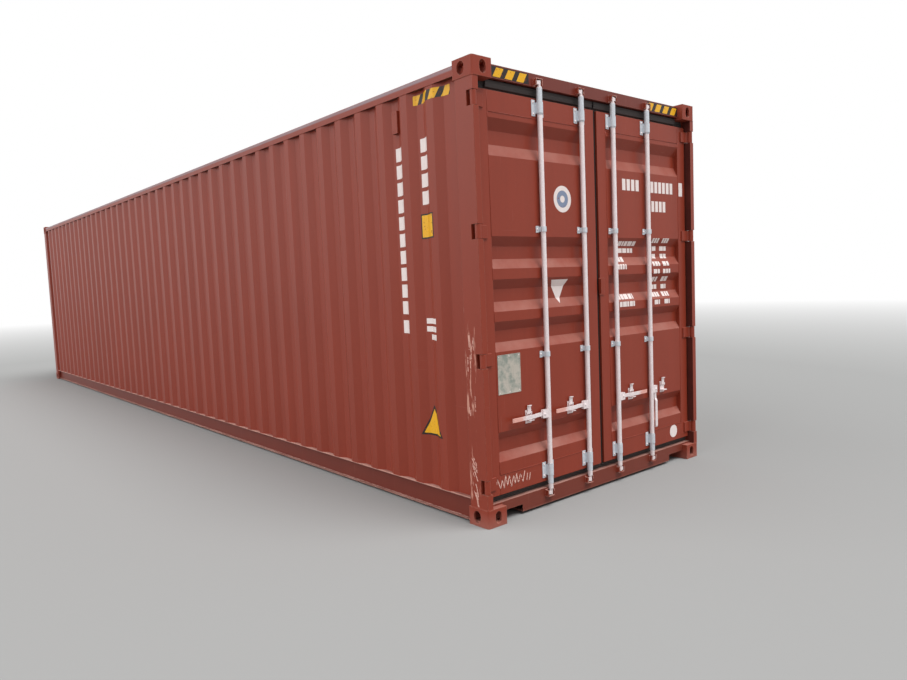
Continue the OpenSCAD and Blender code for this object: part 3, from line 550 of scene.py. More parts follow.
def film_coat(name, colour, rough, loss):
    """Self-adhesive film or stencil paint that has lost small flakes."""
    coat = Coat(name, rough)
    tone = coat.tone(colour, 0.12, 0.12)
    gone = coat.step(coat.noise(55.0, 5.0, 0.7), 0.80 - loss, 0.86 - loss)
    coat.cover(gone, colour_of("outside"), 0.6)
    coat.raise_by(tone["Skin"], 0.00005)
    coat.raise_by(gone, -0.0002)
    return coat.done()


def plate_metal(name, colour):
    """Brushed plate with grey blotches."""
    coat = Coat(name, 0.42, metal=0.25)
    coat.tone(colour, 0.25, 0.2)
    blotch = coat.step(coat.noise(16.0, 5.0, 0.65), 0.42, 0.62)
    coat.cover(coat.times(blotch, 0.7), srgb(118, 134, 126), 0.6)
    coat.raise_by(coat.noise((30.0, 30.0, 900.0), 3.0, 0.6), 0.00008)
    return coat.done()


def weld_coat(name, colour):
    """Painted weld with a rough skin and small rust spots."""
    coat = Coat(name, 0.5)
    coat.tone(colour, 0.25, 0.2)
    coat.raise_by(coat.noise(190.0, 2.0, 0.5), 0.0008)
    coat.rust(40.0, 0.1)
    return coat.done()


# Each finish: what makes it, the material's name, its colour and what differs from the usual
WALL_PAINT = dict(inside="inside", clouds=0.16, runs=0.2, scuffs=0.3)
FRAME_PAINT = dict(rust=0.06, wear=0.6, radius=0.004)
FINISHES = {
    "wall_left": (painted, "Side wall paint, left", "outside",
                  dict(WALL_PAINT, direction=(0, 1, 0), rust=0.02)),
    "wall_right": (painted, "Side wall paint, right", "outside",
                   dict(WALL_PAINT, direction=(0, -1, 0), rust=0.06)),
    "front": (painted, "Front wall paint", "outside",
              dict(inside="inside", direction=(1, 0, 0), rust=0.06)),
    "roof": (painted, "Roof paint", "outside",
             dict(inside="inside", direction=(0, 0, -1), begin=0.3, clouds=0.35, rust=0.16,
                  dust=0.4)),
    # The doors' heavier dust is also a painted sky sheen on the slopes that look up
    "door": (painted, "Door paint", "outside",
             dict(clouds=0.16, runs=0.22, rust=0.03, dust=0.6, scuffs=0.45)),
    "frame": (painted, "Frame paint", "outside", dict(FRAME_PAINT, scuffs=0.6)),
    # The post's scrapes are real wear; its dark hinge recess is a painted shade
    "post": (painted, "Post paint", "outside", dict(FRAME_PAINT, scuffs=0.7, grime=0.85)),
    # Header: a colour darker than the outside paint, a painted shade on its front face
    "header": (painted, "Header paint", (112, 48, 38), dict(FRAME_PAINT, scuffs=0.5)),
    "keeper": (painted, "Keeper paint", "outside",
               dict(rust=0.2, scuffs=0.9, wear=1.0, radius=0.006, bare=(206, 164, 152))),
    # Upper rail: a dark painted shade on the faces that look down, and a grey lip along the top
    # edge, a painted reflection of the sky with some wear
    "top_rail": (painted, "Upper rail paint", "outside",
                 dict(inside=(74, 32, 26), direction=(0, 0, -1), begin=0.5, rust=0.08, dust=0.35,
                      scuffs=0.5, wear=0.6, lip=(2.868, 0.026, (158, 144, 150)))),
    "sill": (painted, "Sill paint", (116, 53, 40),
             dict(rust=0.14, dust=0.85, dust_height=0.03, scuffs=0.7, wear=0.9,
                  bare=(176, 122, 106))),
    # Lower rail: a colour darker than the outside paint, a painted shade on its web; the pale lip
    # along the top flange is dust and wear, and a painted highlight
    "low_rail": (painted, "Lower rail paint", (116, 50, 38),
                 dict(rust=0.14, dust=1.0, dust_height=0.02, scuffs=0.7, wear=1.0, radius=0.006,
                      bare=(196, 150, 136), lip=(0.170, 0.009, (208, 160, 146)))),
    "casting": (painted, "Casting paint", "outside",
                dict(clouds=0.25, rust=0.2, dust=0.4, scuffs=0.6, wear=0.9, rough=0.55,
                     radius=0.006)),
    "hardware": (painted, "Hinge paint", "outside", dict(scuffs=0.5, wear=0.8, radius=0.002)),
    "underframe": (painted, "Underframe coat", (62, 48, 42),
                   dict(clouds=0.4, rust=0.3, dust=0.15, scuffs=0.2, wear=0.3, rough=0.6)),
    "zinc": (zinc_coat, "Galvanised gear", "zinc", {}),
    "guide": (zinc_coat, "Guide zinc", (212, 216, 222), {}),
    "pin": (zinc_coat, "Hinge pin zinc", (120, 84, 74), dict(rust=0.3, rough=0.55)),
    "screw": (zinc_coat, "Floor screws", (140, 132, 124), dict(rust=0.3, rough=0.5)),
    **{f"handle_{rod}": (zinc_coat, f"Handle zinc, {rod}", "zinc", dict(end=(y, side)))
       for rod, y, side in RODS},
    "rubber": (rubber_coat, "Door rubber", (62, 55, 54), {}),
    # Joint rubber: the same rubber as the door seals, darker as a painted shade for the gap between
    # the leaves
    "joint_rubber": (rubber_coat, "Joint rubber", (30, 24, 24), {}),
    "timber": (timber_coat, "Plywood floor", (150, 104, 66), {}),
    "weld": (weld_coat, "Painted weld", "outside", {}),
    "plate": (plate_metal, "Data plate metal", (196, 188, 176), {}),
    "white": (film_coat, "White mark", "marks", dict(rough=0.45, loss=0.1)),
    "yellow": (film_coat, "Yellow film", "yellow", dict(rough=0.35, loss=0.2)),
    "black": (film_coat, "Black film", (34, 30, 30), dict(rough=0.4, loss=0.2)),
    "blue_grey": (film_coat, "Grey blue film", (128, 140, 164), dict(rough=0.4, loss=0.2)),
    "chalk": (film_coat, "Chalk", (224, 184, 172), dict(rough=0.9, loss=0.26)),
    "scrape": (film_coat, "Scraped paint", (220, 170, 156), dict(rough=0.8, loss=0.28)),
}

# The finish of each node; the nodes that aren't listed are galvanised gear
NODE_FINISH = {
    "side_wall_left": "wall_left", "side_wall_right": "wall_right", "front_wall": "front",
    "roof": "roof", "roof_corner_plates": "roof",
    "door_left_panel": "door", "door_right_panel": "door",
    "door_left_frame": "door", "door_right_frame": "door",
    "rear_corner_posts": "post", "front_corner_posts": "frame", "door_header": "header",
    "front_header": "frame", "front_sill": "sill", "door_sill": "sill",
    "top_side_rails": "top_rail", "bottom_side_rails": "low_rail",
    "corner_castings_bottom": "casting", "corner_castings_top": "casting",
    "door_left_hinges": "hardware", "door_right_hinges": "hardware", "rod_keepers": "keeper",
    "ventilators": "frame", "hinge_pins": "pin",
    "cross_members": "underframe", "gooseneck_tunnel": "underframe",
    "door_left_gasket": "rubber", "door_right_gasket": "rubber", "floor": "timber",
    "door_left_rod_guides": "guide", "door_right_rod_guides": "guide",
    **{f"handle_{rod}": f"handle_{rod}" for rod, _, _ in RODS},
}


def finish(key):
    """The material of a finish, made when it is first asked for."""
    maker, name, colour, extra = FINISHES[key]
    return bpy.data.materials.get(name) or maker(name, colour_of(colour), **extra)


# Shapes

def circle(sides):
    """Cosine and sine of even steps round a circle."""
    turns = [2 * math.pi * step / sides for step in range(sides)]
    return [(math.cos(turn), math.sin(turn)) for turn in turns]


def mirror(point, side):
    """A place given for the right side, on the side that is asked for."""
    x, y, z = point
    return Vector((x, side * y, z))


def outline(node, along, out, pick):
    """Bends of a pressed sheet in order, as (place along one axis, its outer face on another)."""
    bends = {}
    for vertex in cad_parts[node].data.vertices:
        key = round(vertex.co[along], 4)
        bends[key] = pick(bends.get(key, 0.0), vertex.co[out])
    return sorted(bends.items())


def new_object(name, work, material):
    """The object of a finished bmesh, in the frame's own coordinates."""
    mesh = bpy.data.meshes.new(name)
    work.to_mesh(mesh)
    work.free()
    mesh.materials.append(material)
    piece = bpy.data.objects.new(name, mesh)
    bpy.context.scene.collection.objects.link(piece)
    return piece


class Shape:
    """Gathers the faces of one piece."""

    def __init__(self):
        self.points = []
        self.faces = []

    def ring_strip(self, rings):
        """Joins rings of equal length into a skin with closed ends."""
        start = len(self.points)
        size = len(rings[0])
        last = start + (len(rings) - 1) * size
        for ring_points in rings:
            self.points.extend(ring_points)
        for first in range(start, last, size):
            for index in range(size):
                here, beside = first + index, first + (index + 1) % size
                self.faces.append((here, beside, beside + size, here + size))
        self.faces.append(tuple(reversed(range(start, start + size))))
        self.faces.append(tuple(range(last, last + size)))

    def bead(self, path, radius, up, sides=6, ripple=0.0):
        """A round bead along a line of points that lies square to up."""
        path = [Vector(point) for point in path]
        up = Vector(up).normalized()
        rings = []
        for index, point in enumerate(path):
            before = (point - path[index - 1]).normalized() if index else None
            after = (path[index + 1] - point).normalized() if index + 1 < len(path) else None
            along = (before or after) + (after or before)
            along.normalize()
            side = up.cross(along)
            if before and after:
                side /= max(0.5, along.dot(after))
            swell = radius * (1 + ripple * (-1) ** index)
            rings.append([point + side * swell * cos + up * swell * sin
                          for cos, sin in circle(sides)])
        self.ring_strip(rings)

    def rippled(self, start, end, radius, up, pitch=0.008):
        """A straight bead with its ripples."""
        start, end = Vector(start), Vector(end)
        count = max(3, int((end - start).length / pitch))
        self.bead([start.lerp(end, step / count) for step in range(count + 1)], radius, up,
                  ripple=0.10)

    def dome(self, centre, axis, radius, height, profile=None, sides=14):
        """A turned head standing on a face."""
        profile = profile or ((1.0, -0.3), (1.0, 0.3), (0.86, 0.66), (0.55, 0.93), (0.2, 1.0))
        axis = Vector(axis).normalized()
        first = axis.orthogonal().normalized()
        second = axis.cross(first)
        self.ring_strip([
            [Vector(centre) + axis * height * rise + (first * cos + second * sin) * radius * reach
             for cos, sin in circle(sides)]
            for reach, rise in profile])

    def block(self, low, high, chamfer):
        """A block between opposite corners, with the edges of its outer face cut."""
        (x0, y0, z0), (x1, y1, z1) = low, high
        self.ring_strip([
            [Vector((x, y0 + cut, z0 + cut)), Vector((x, y1 - cut, z0 + cut)),
             Vector((x, y1 - cut, z1 - cut)), Vector((x, y0 + cut, z1 - cut))]
            for x, cut in ((x0, 0.0), (x1 - chamfer, 0.0), (x1, chamfer))])

    def place(self, name, finish_key, body="container", slot=None, smooth=False):
        """Makes the object and sets it on its body."""
        work = bmesh.new()
        points = [work.verts.new(point) for point in self.points]
        for face in self.faces:
            work.faces.new([points[index] for index in face])
        bmesh.ops.recalc_face_normals(work, faces=work.faces)
        piece = new_object(name, work, finish(finish_key))
        if smooth:
            piece.data.shade_smooth()
        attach(piece, body)

    def weld(self, name, body="container"):
        self.place(name, "weld", body, "painted_steel", smooth=True)


def clip(polygon, axis, limit, side):
    """The part of a convex polygon above (1) or below (-1) a limit along one axis."""
    out = []
    for index, point in enumerate(polygon):
        last = polygon[index - 1]
        inside, was_inside = (side * (corner[axis] - limit) >= 0 for corner in (point, last))
        if inside != was_inside:
            share = (limit - last[axis]) / (point[axis] - last[axis])
            out.append(tuple(a + (b - a) * share for a, b in zip(last, point)))
        if inside:
            out.append(point)
    return out


def between(polygon, axis, low, high):
    """The part of a convex polygon between two limits along one axis."""
    return clip(clip(polygon, axis, low, 1), axis, high, -1)


class Surface:
    """A face of the frame that marks are laid on: flat coordinates in, places on the steel out.

    Marks of a door end face run across and up, and those of a side run along and up."""

    RAYS = {"door": Vector((-1, 0, 0)), "left": Vector((0, 1, 0)), "right": Vector((0, -1, 0))}

    def __init__(self, kind, body, *nodes):
        points, faces = [], []
        for node in nodes:
            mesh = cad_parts[node].data
            start = len(points)
            points.extend(vertex.co.copy() for vertex in mesh.vertices)
            faces.extend([start + index for index in polygon.vertices]
                         for polygon in mesh.polygons)
        self.tree = BVHTree.FromPolygons(points, faces)
        self.kind = kind
        self.body = body
        self.ray = self.RAYS[kind]
        if kind == "door":
            self.axis = 1
            self.breaks = sorted({round(point.z, 5) for point in points if point.x > LEAF_X - 0.05})
        else:
            self.axis = 0
            self.breaks = sorted({round(point.x, 5) for point in points})

    def spot(self, u, v, lift):
        """The place at u, v, found by a ray from well outside, tried a hair beside an edge too."""
        for nudge in (0.0, 2e-6, -2e-6):
            if self.kind == "door":
                origin = Vector((CAD_BOX[1].x + 1, u + nudge, v + nudge))
            else:
                origin = Vector((u + nudge, -self.ray.y * 3, v + nudge))
            hit = self.tree.ray_cast(origin, self.ray)[0]
            if hit is not None:
                break
        else:
            raise ValueError(f"no steel behind {u:.3f}, {v:.3f} of the {self.kind} face")
        hit = hit - self.ray * lift
        return Vector((hit.x, u, v) if self.kind == "door" else (u, hit.y, v))

    def lay(self, name, polygons, finish_key, share=1.0, depth=0.0003):
        """Lays thin slabs on the steel, cut where it bends, sunk by depth.

        share is the part of a mark's full thickness that stands proud."""
        lift = bpy.context.scene.container_detail.mark_lift * share
        work = bmesh.new()
        known = {}
        for polygon in polygons:
            low = min(point[self.axis] for point in polygon)
            high = max(point[self.axis] for point in polygon)
            limits = [low, *(limit for limit in self.breaks if low + 1e-5 < limit < high - 1e-5),
                      high]
            for start, end in zip(limits, limits[1:]):
                if end - start < 2e-5:
                    continue
                corners = []
                for u, v in between(polygon, self.axis, start, end):
                    key = (round(u, 5), round(v, 5))
                    if key not in known:
                        known[key] = work.verts.new(self.spot(u, v, lift))
                    if known[key] not in corners:
                        corners.append(known[key])
                if len(corners) > 2 and not work.faces.get(corners):
                    work.faces.new(corners)
        made = bmesh.ops.extrude_face_region(work, geom=work.faces[:], use_keep_orig=True)
        lower = [item for item in made["geom"] if isinstance(item, bmesh.types.BMVert)]
        bmesh.ops.translate(work, verts=lower, vec=self.ray * (lift + depth))
        bmesh.ops.recalc_face_normals(work, faces=work.faces)
        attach(new_object(name, work, finish(finish_key)), self.body)


def bar(u0, u1, v0, v1):
    return [(u0, v0), (u1, v0), (u1, v1), (u0, v1)]


def row_of_bars(u0, u1, v0, v1, count, fill=0.72):
    """A row of plain upright bars."""
    pitch = (u1 - u0) / count
    gap = pitch * (1 - fill) / 2
    return [bar(u0 + index * pitch + gap, u0 + (index + 1) * pitch - gap, v0, v1)
            for index in range(count)]


def column_of_bars(u0, u1, v0, v1, count):
    """A column of plain blocks, with a gap under and over each."""
    pitch = (v1 - v0) / count
    starts = [v0 + index * pitch for index in range(count)]
    return [bar(u0, u1, start + 0.012, start + pitch - 0.014) for start in starts]


def slanted_bars(low, high, first, pitch=0.105, width=0.064, lean=0.034):
    """Leaning stripes that fill a rectangle from a first place on."""
    out = []
    for index in range(int((high[0] - first) / pitch) + 1):
        u = first + index * pitch
        stripe = [(u, low[1]), (u + width, low[1]), (u + width + lean, high[1]),
                  (u + lean, high[1])]
        for axis in (0, 1):
            stripe = between(stripe, axis, low[axis], high[axis])
        if len(stripe) > 2:
            out.append(stripe)
    return out


def ring(cu, cv, outer, inner, steps=40):
    """Quads of a flat ring, or of a disc where inner is 0."""
    rim = circle(steps)
    out = []
    for a, b in zip(rim, rim[1:] + rim[:1]):
        far = [(cu + outer * cos, cv + outer * sin) for cos, sin in (a, b)]
        near = [(cu + inner * cos, cv + inner * sin) for cos, sin in (b, a)]
        out.append([*far, *near] if inner else [*far, (cu, cv)])
    return out


def stroke(points, width):
    """Quads of a line of even width."""
    out = []
    for start, end in zip(points, points[1:]):
        du, dv = end[0] - start[0], end[1] - start[1]
        size = math.hypot(du, dv)
        nu, nv = -dv / size * width / 2, du / size * width / 2
        out.append([(start[0] + nu, start[1] + nv), (start[0] - nu, start[1] - nv),
                    (end[0] - nu, end[1] - nv), (end[0] + nu, end[1] + nv)])
    return out


# Operators

class CONTAINER_OT_finishes(Operator):
    """Gives every node of the frame its finish"""

    bl_idname = "container.finishes"
    bl_label = "Finishes of the frame"

    def execute(self, context):
        for name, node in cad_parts.items():
            node.data.materials.clear()
            node.data.materials.append(finish(NODE_FINISH.get(name, "zinc")))
        return {"FINISHED"}


class CONTAINER_OT_frame_welds(Operator):
    """Lays the weld beads between castings, posts, rails, header and sill"""

    bl_idname = "container.frame_welds"
    bl_label = "Welds of the frame"

    def execute(self, context):
        (x0, _, post_low), (x1, y1, post_high) = POST
        rear, front, edge = x1 - 0.0012, 0.0012 - x1, y1 - 0.0012
        lying = [((xa, ya, z), (xb, yb, z), UP, 0.008)
                 for z in (post_low, post_high)
                 for xa, ya, xb, yb in ((x0, edge, x1, edge),
                                        (-x0 - 0.012, edge, 0.012 - x1, edge),
                                        (rear, y1 - 0.046, rear, y1),
                                        (front, y1 - 0.135, front, y1 - 0.014))]
        rails = [(sign * TOP_RAIL[1].x, y, low, high, ACROSS, 0.008)
                 for sign in SIDES
                 for y, low, high in (
                     (TOP_RAIL[1].y - 0.001, TOP_RAIL[0].z, TOP_RAIL[1].z),
                     (LOW_RAIL[1].y - 0.048, LOW_RAIL[0].z + 0.006, CASTING_TOP))]
        beams = [(HEADER_X, CASTING_INNER, HEADER[0].z + 0.038, HEADER[1].z, ALONG, 0.008),
                 (SILL[1].x, 1.170, 0.119, 0.130, ALONG, 0.004),
                 (SILL[1].x - 0.0015, CASTING_INNER, 0.119, 0.130, ALONG, 0.004),
                 (5.988, CASTING_INNER, 2.761, 2.777, ALONG, 0.008),
                 (FRONT_X, CASTING_INNER, 2.809, 2.867, ALONG, 0.008),
                 (FRONT_X, CASTING_INNER, 0.021, 0.169, ALONG, 0.008)]
        upright = [((x, y, low), (x, y, high), up, pitch)
                   for x, y, low, high, up, pitch in rails + beams]
        beads = Shape()
        for side in SIDES:
            for start, end, up, pitch in lying + upright:
                beads.rippled(mirror(start, side), mirror(end, side),
                              context.scene.container_detail.bead, up, pitch)
        beads.weld("frame_weld_beads")
        return {"FINISHED"}


class CONTAINER_OT_wall_welds(Operator):
    """Lays the beads that follow the corrugated walls, the roof's seams and its plates"""

    bl_idname = "container.wall_welds"
    bl_label = "Welds of walls and roof"

    def execute(self, context):
        seam, low, high = 0.0026, WALL[0].z, WALL[1].z
        line = outline("side_wall_left", 0, 1, min)
        for label, side in DOORS:
            beads = Shape()
            for z in (low + 0.0005, high - 0.0005):
                beads.bead([(x, -side * y, z) for x, y in line], seam, UP)
            for index in range(5, len(line) - 12, 16):
                x, y = (0.5 * (a + b) for a, b in zip(line[index], line[index + 1]))
                beads.bead([(x, -side * y, low), (x, -side * y, high)], 0.0012, ALONG)
            beads.weld(f"side_wall_{label}_seams")

        beads = Shape()
        line = outline("front_wall", 1, 0, min)
        for z in (low + 0.0005, high - 0.0005):
            beads.bead([(x, y, z) for y, x in line], seam, UP)
        beads.weld("front_wall_seams")

        beads = Shape()
        plate_z, plate_y, plate_far, plate_near = ROOF_Z + 0.003, 1.117, 5.918, 5.718
        for side in SIDES:
            y = side * plate_y
            beads.bead([(-5.9, side * 1.2085, ROOF_Z), (5.93, side * 1.2085, ROOF_Z)], seam, UP)
            for sign in SIDES:
                x0, x1 = sorted((sign * plate_far, sign * plate_near))
                inner = sign * plate_near
                beads.bead([(x0, y, plate_z), (x1, y, plate_z)], 0.002, UP)
                beads.bead([(inner, y, plate_z), (inner, side * 1.207, plate_z)], 0.002, UP)
        ribs, pitch = 56, 0.209
        start = 0.5 * (-6.086 + 5.933) - ribs * pitch / 2
        for index in range(5, ribs, 5):
            x = start + index * pitch
            beads.bead([(x, -1.2, ROOF_Z), (x, 1.2, ROOF_Z)], 0.0024, UP)
        beads.weld("roof_seams")
        return {"FINISHED"}


class CONTAINER_OT_door_welds(Operator):
    """Lays the beads round the door panels, at the frames' corners and on the hinge blades"""

    bl_idname = "container.door_welds"
    bl_label = "Welds of the doors"

    def execute(self, context):
        line = outline("door_left_panel", 2, 0, max)
        joint_x = LEAF_X - 0.0004
        blade_near, blade_far = 1.097, 1.154
        for label, side in DOORS:
            beads = Shape()
            for y in (PANEL[0].y, PANEL[1].y):
                beads.bead([(x, -side * y, z) for z, x in line], 0.0028, ACROSS)
            for z in (PANEL[0].z, PANEL[1].z):
                beads.bead([(LEAF_X, side * PANEL_OUTER, z), (LEAF_X, side * PANEL_INNER, z)],
                           0.0028, ALONG)
            for y in (PANEL_OUTER, PANEL_INNER):
                for low, high in ((LEAF[0].z, PANEL[0].z), (PANEL[1].z, LEAF[1].z)):
                    beads.bead([(joint_x, side * y, low), (joint_x, side * y, high)], 0.0018,
                               ALONG)
            for z in HINGES_Z:
                for ya, za, yb, zb in ((blade_near, z - 0.040, blade_far, z - 0.040),
                                       (blade_near, z + 0.040, blade_far, z + 0.040),
                                       (blade_near, z - 0.042, blade_near, z + 0.042)):
                    beads.rippled((LEAF_X, side * ya, za), (LEAF_X, side * yb, zb), 0.003, ALONG)
            beads.weld(f"door_{label}_welds", f"door_{label}")
        keepers = Shape()
        for _, y, side in RODS:
            a, b = y + side * 0.039, y - side * 0.024
            for low, high in ((0.070, 0.122), (2.798, 2.850)):
                loop = ((a, low), (b, low), (b, high), (a, high), (a, low))
                for start, end in zip(loop, loop[1:]):
                    keepers.rippled((HEADER_X, *start), (HEADER_X, *end), 0.0028, ALONG)
        keepers.weld("keeper_welds")
        return {"FINISHED"}


class CONTAINER_OT_fasteners(Operator):
    """Sets the rivets of guides and retainers, and the heads of the handle pivots"""

    bl_idname = "container.fasteners"
    bl_label = "Rivets and pins"

    def execute(self, context):
        foot_x = LEAF_X + 0.004
        for label, side in DOORS:
            rivets = Shape()
            for _, y, rod_side in RODS:
                if rod_side == side:
                    self.guide_rivets(rivets, foot_x, y, context.scene.container_detail.rivet)
                    for across in SIDES:
                        for up in SIDES:
                            spot = (foot_x, y + side * 0.178 + across * 0.013,
                                    HANDLE_Z + up * 0.036)
                            rivets.dome(spot, ALONG, 0.0055, 0.0035)
            rivets.place(f"door_{label}_rivets", "zinc", f"door_{label}", "galvanised_steel",
                         smooth=True)
        for name, y, side in RODS:
            rod = f"lock_rod_{name}"
            heads = Shape()
            for way, radius, height in ((1, 0.0095, 0.0055), (-1, 0.0085, 0.0035)):
                heads.dome((ROD_X + way * 0.0105, y + side * 0.048, HANDLE_Z), (way, 0, 0), radius,
                           height)
            heads.place(f"{rod}_pivot_heads", "zinc", rod, "galvanised_steel", smooth=True)
            self.collars(y).place(f"{rod}_collars", "guide", rod, "galvanised_steel")
        return {"FINISHED"}

    def guide_rivets(self, rivets, x, y, radius):
        """Four heads on the wide guides at the rod's ends, two smaller ones on the others."""
        guides = ((0.255, 0.040, 0.038), (1.0474, 0.036, 0.0), (1.878, 0.036, 0.0),
                  (2.662, 0.040, 0.037))
        for z, reach, rise in guides:
            for across in SIDES:
                for up in ((-rise, rise) if rise else (0.0,)):
                    rivets.dome((x, y + across * reach, z + up), ALONG,
                                radius if rise else radius * 0.9, 0.0045)

    def collars(self, y):
        """Turned collars on one rod, beside its guides and cams."""
        collars = Shape()
        for low, high in ((0.161, 0.2185), (0.2915, 0.299), (2.618, 2.6255), (2.6985, 2.790)):
            half = 0.5 * (high - low)
            turn = 0.0012 / half
            profile = ((0.80, -1.0), (0.93, -1.0), (1.0, turn - 1.0), (1.0, 1.0 - turn),
                       (0.93, 1.0), (0.80, 1.0))
            collars.dome((ROD_X, y, 0.5 * (low + high)), UP, 0.0192, half, profile, 28)
        return collars


class CONTAINER_OT_seal_lips(Operator):
    """Builds the lips and ribs of the door seals that show between leaf and frame"""

    bl_idname = "container.seal_lips"
    bl_label = "Lips of the door seals"

    def execute(self, context):
        x = SEAL[1].x
        low_rib, high_rib = SEAL[0].z + 0.007, SEAL[1].z - 0.009
        bulb = ((-0.002, 0.0030), (0.013, 0.0030), (0.018, 0.0048), (0.0205, 0.0080),
                (0.0205, 0.0125), (0.018, 0.0157), (0.013, 0.0170), (-0.002, 0.0170))
        for label, side in DOORS:
            lips = Shape()
            for y_out, root, down, depth in ((1.154, LEAF[0].z - 0.002, 1, 0.015),
                                             (1.050, LEAF[1].z + 0.016, -1, 0.050)):
                flap = ((0.0, 0.0), (0.017, 0.006), (0.021, 0.5 * depth), (0.019, depth),
                        (0.0165, depth), (0.018, 0.5 * depth), (0.014, 0.009), (0.0, 0.004))
                lips.ring_strip([
                    [Vector((x - 0.002 + out, side * y, root - down * along))
                     for out, along in flap]
                    for y in (y_out, SEAL_INNER)])
            for z in (low_rib, SEAL[0].z + 0.018, LEAF[1].z + 0.008, LEAF[1].z + 0.040):
                lips.bead([(x, side * SEAL_OUTER, z), (x, side * SEAL_INNER, z)], 0.0042, ALONG, 8)
            for y, top in ((SEAL_OUTER, 2.770), (0.0095, high_rib)):
                lips.bead([(x, side * y, low_rib), (x, side * y, top)], 0.0046, ALONG, 8)
            lips.place(f"door_{label}_seal_lips", "rubber", f"door_{label}", "door_rubber")
            # The joint lip is real rubber, coloured darker than the door rubber as a painted shade
            # in the gap between the leaves
            joint = Shape()
            joint.ring_strip([[Vector((x + out, side * y, z)) for out, y in bulb]
                              for z in (LEAF[0].z + 0.002, LEAF[1].z - 0.002)])
            joint.place(f"door_{label}_joint_lip", "joint_rubber", f"door_{label}", "door_rubber")
        return {"FINISHED"}


class CONTAINER_OT_stripes(Operator):
    """Lays the yellow and black stripes of the header and of the tops of the side walls"""

    bl_idname = "container.stripes"
    bl_label = "Height stripes"

    def execute(self, context):
        header = Surface("door", "container", "door_header")
        for name, y0, y1, first in (("left", -1.030, -0.680, -1.004),
                                    ("right", 0.640, 1.054, 0.632)):
            header.lay(f"header_stripes_{name}_black", [bar(y0, y1, 2.804, 2.872)], "black", 0.6)
            header.lay(f"header_stripes_{name}_yellow",
                       slanted_bars((y0 + 0.004, 2.808), (y1 - 0.012, 2.866), first), "yellow")
        low, high = (5.480, 2.724), (5.843, 2.786)
        for label, _ in DOORS:
            wall = Surface(label, "container", f"side_wall_{label}")
            wall.lay(f"side_stripes_{label}_black", [bar(low[0], high[0], low[1], high[1])],
                     "black", 0.6)
            wall.lay(f"side_stripes_{label}_yellow", slanted_bars(low, high, low[0] - 0.030),
                     "yellow")
        return {"FINISHED"}


class CONTAINER_OT_door_marks(Operator):
    """Lays the plain white marks of the doors"""

    bl_idname = "container.door_marks"
    bl_label = "Marks of the doors"

    def execute(self, context):
        left, right = (Surface("door", f"door_{label}", f"door_{label}_panel",
                               f"door_{label}_frame") for label, _ in DOORS)
        centre = (-0.373, 2.087)
        left.lay("door_left_ring", ring(*centre, 0.090, 0.058), "white")
        left.lay("door_left_disc", ring(*centre, 0.0575, 0.024, 32), "blue_grey")
        left.lay("door_left_dot", ring(*centre, 0.0235, 0.0, 24), "white")
        left.lay("door_left_triangle", [[(-0.498, 1.541), (-0.412, 1.378), (-0.326, 1.541)]],
                 "white")
        right.lay("door_right_bars", [*row_of_bars(0.300, 0.525, 2.184, 2.268, 4),
                                      *row_of_bars(0.666, 0.984, 2.182, 2.268, 6),
                                      *row_of_bars(0.675, 0.880, 2.036, 2.118, 4)], "white")
        right.lay("door_right_end_bar", [bar(1.068, 1.120, 2.172, 2.280)], "white")
        right.lay("door_right_table", self.table(), "white")
        right.lay("door_right_disc", ring(0.943, 0.253, 0.052, 0.0, 32), "white")
        return {"FINISHED"}

    def table(self):
        """Rows of small plain blocks of uneven length, in two columns and three groups beside."""
        blocks = []
        chance = random.Random(7)

        def row(u0, u1, v1, tall):
            u = u0
            while u < u1 - 0.012:
                end = min(u1, u + chance.uniform(0.022, 0.052))
                blocks.append(bar(u, end, v1 - tall, v1))
                u = end + chance.uniform(0.006, 0.010)

        for line in range(9):
            for u0, u1 in ((0.690, 0.792), (0.826, 0.932)):
                inset = chance.uniform(0.0, 0.018)
                row(u0 + inset, u1 - inset, 1.831 - line * 0.0605, 0.036)
        for u0, u1, shorter, top, pitch, tall in ((0.236, 0.498, 0.03, 1.806, 0.052, 0.034),
                                                  (0.236, 0.345, 0.0, 1.690, 0.056, 0.038),
                                                  (0.250, 0.440, 0.0, 1.408, 0.056, 0.038)):
            for line in range(2):
                row(u0, u1 - shorter * line, top - line * pitch, tall)
        return blocks


class CONTAINER_OT_side_marks(Operator):
    """Lays the plain marks of the side walls"""

    bl_idname = "container.side_marks"
    bl_label = "Marks of the side walls"

    def execute(self, context):
        white = column_of_bars(5.250, 5.345, 1.330, 2.496, 10)
        white.append(bar(5.250, 5.345, 1.209, 1.300))
        white += column_of_bars(5.525, 5.620, 2.059, 2.515, 4)
        for line, u0 in enumerate((5.512, 5.512, 5.562)):
            top = 1.317 - line * 0.054
            white.append(bar(u0, 5.650, top - 0.036, top))
        for label, _ in DOORS:
            wall = Surface(label, "container", f"side_wall_{label}")
            wall.lay(f"side_bars_{label}", white, "white")
            for mark, rim, field in (
                    ("patch", bar(5.500, 5.666, 1.847, 2.012), bar(5.509, 5.657, 1.857, 2.002)),
                    ("triangle", [(5.438, 0.516), (5.672, 0.516), (5.555, 0.727)],
                     [(5.460, 0.529), (5.650, 0.529), (5.555, 0.701)])):
                wall.lay(f"side_{mark}_{label}_rim", [rim], "black", 0.6)
                wall.lay(f"side_{mark}_{label}", [field], "yellow")
        return {"FINISHED"}


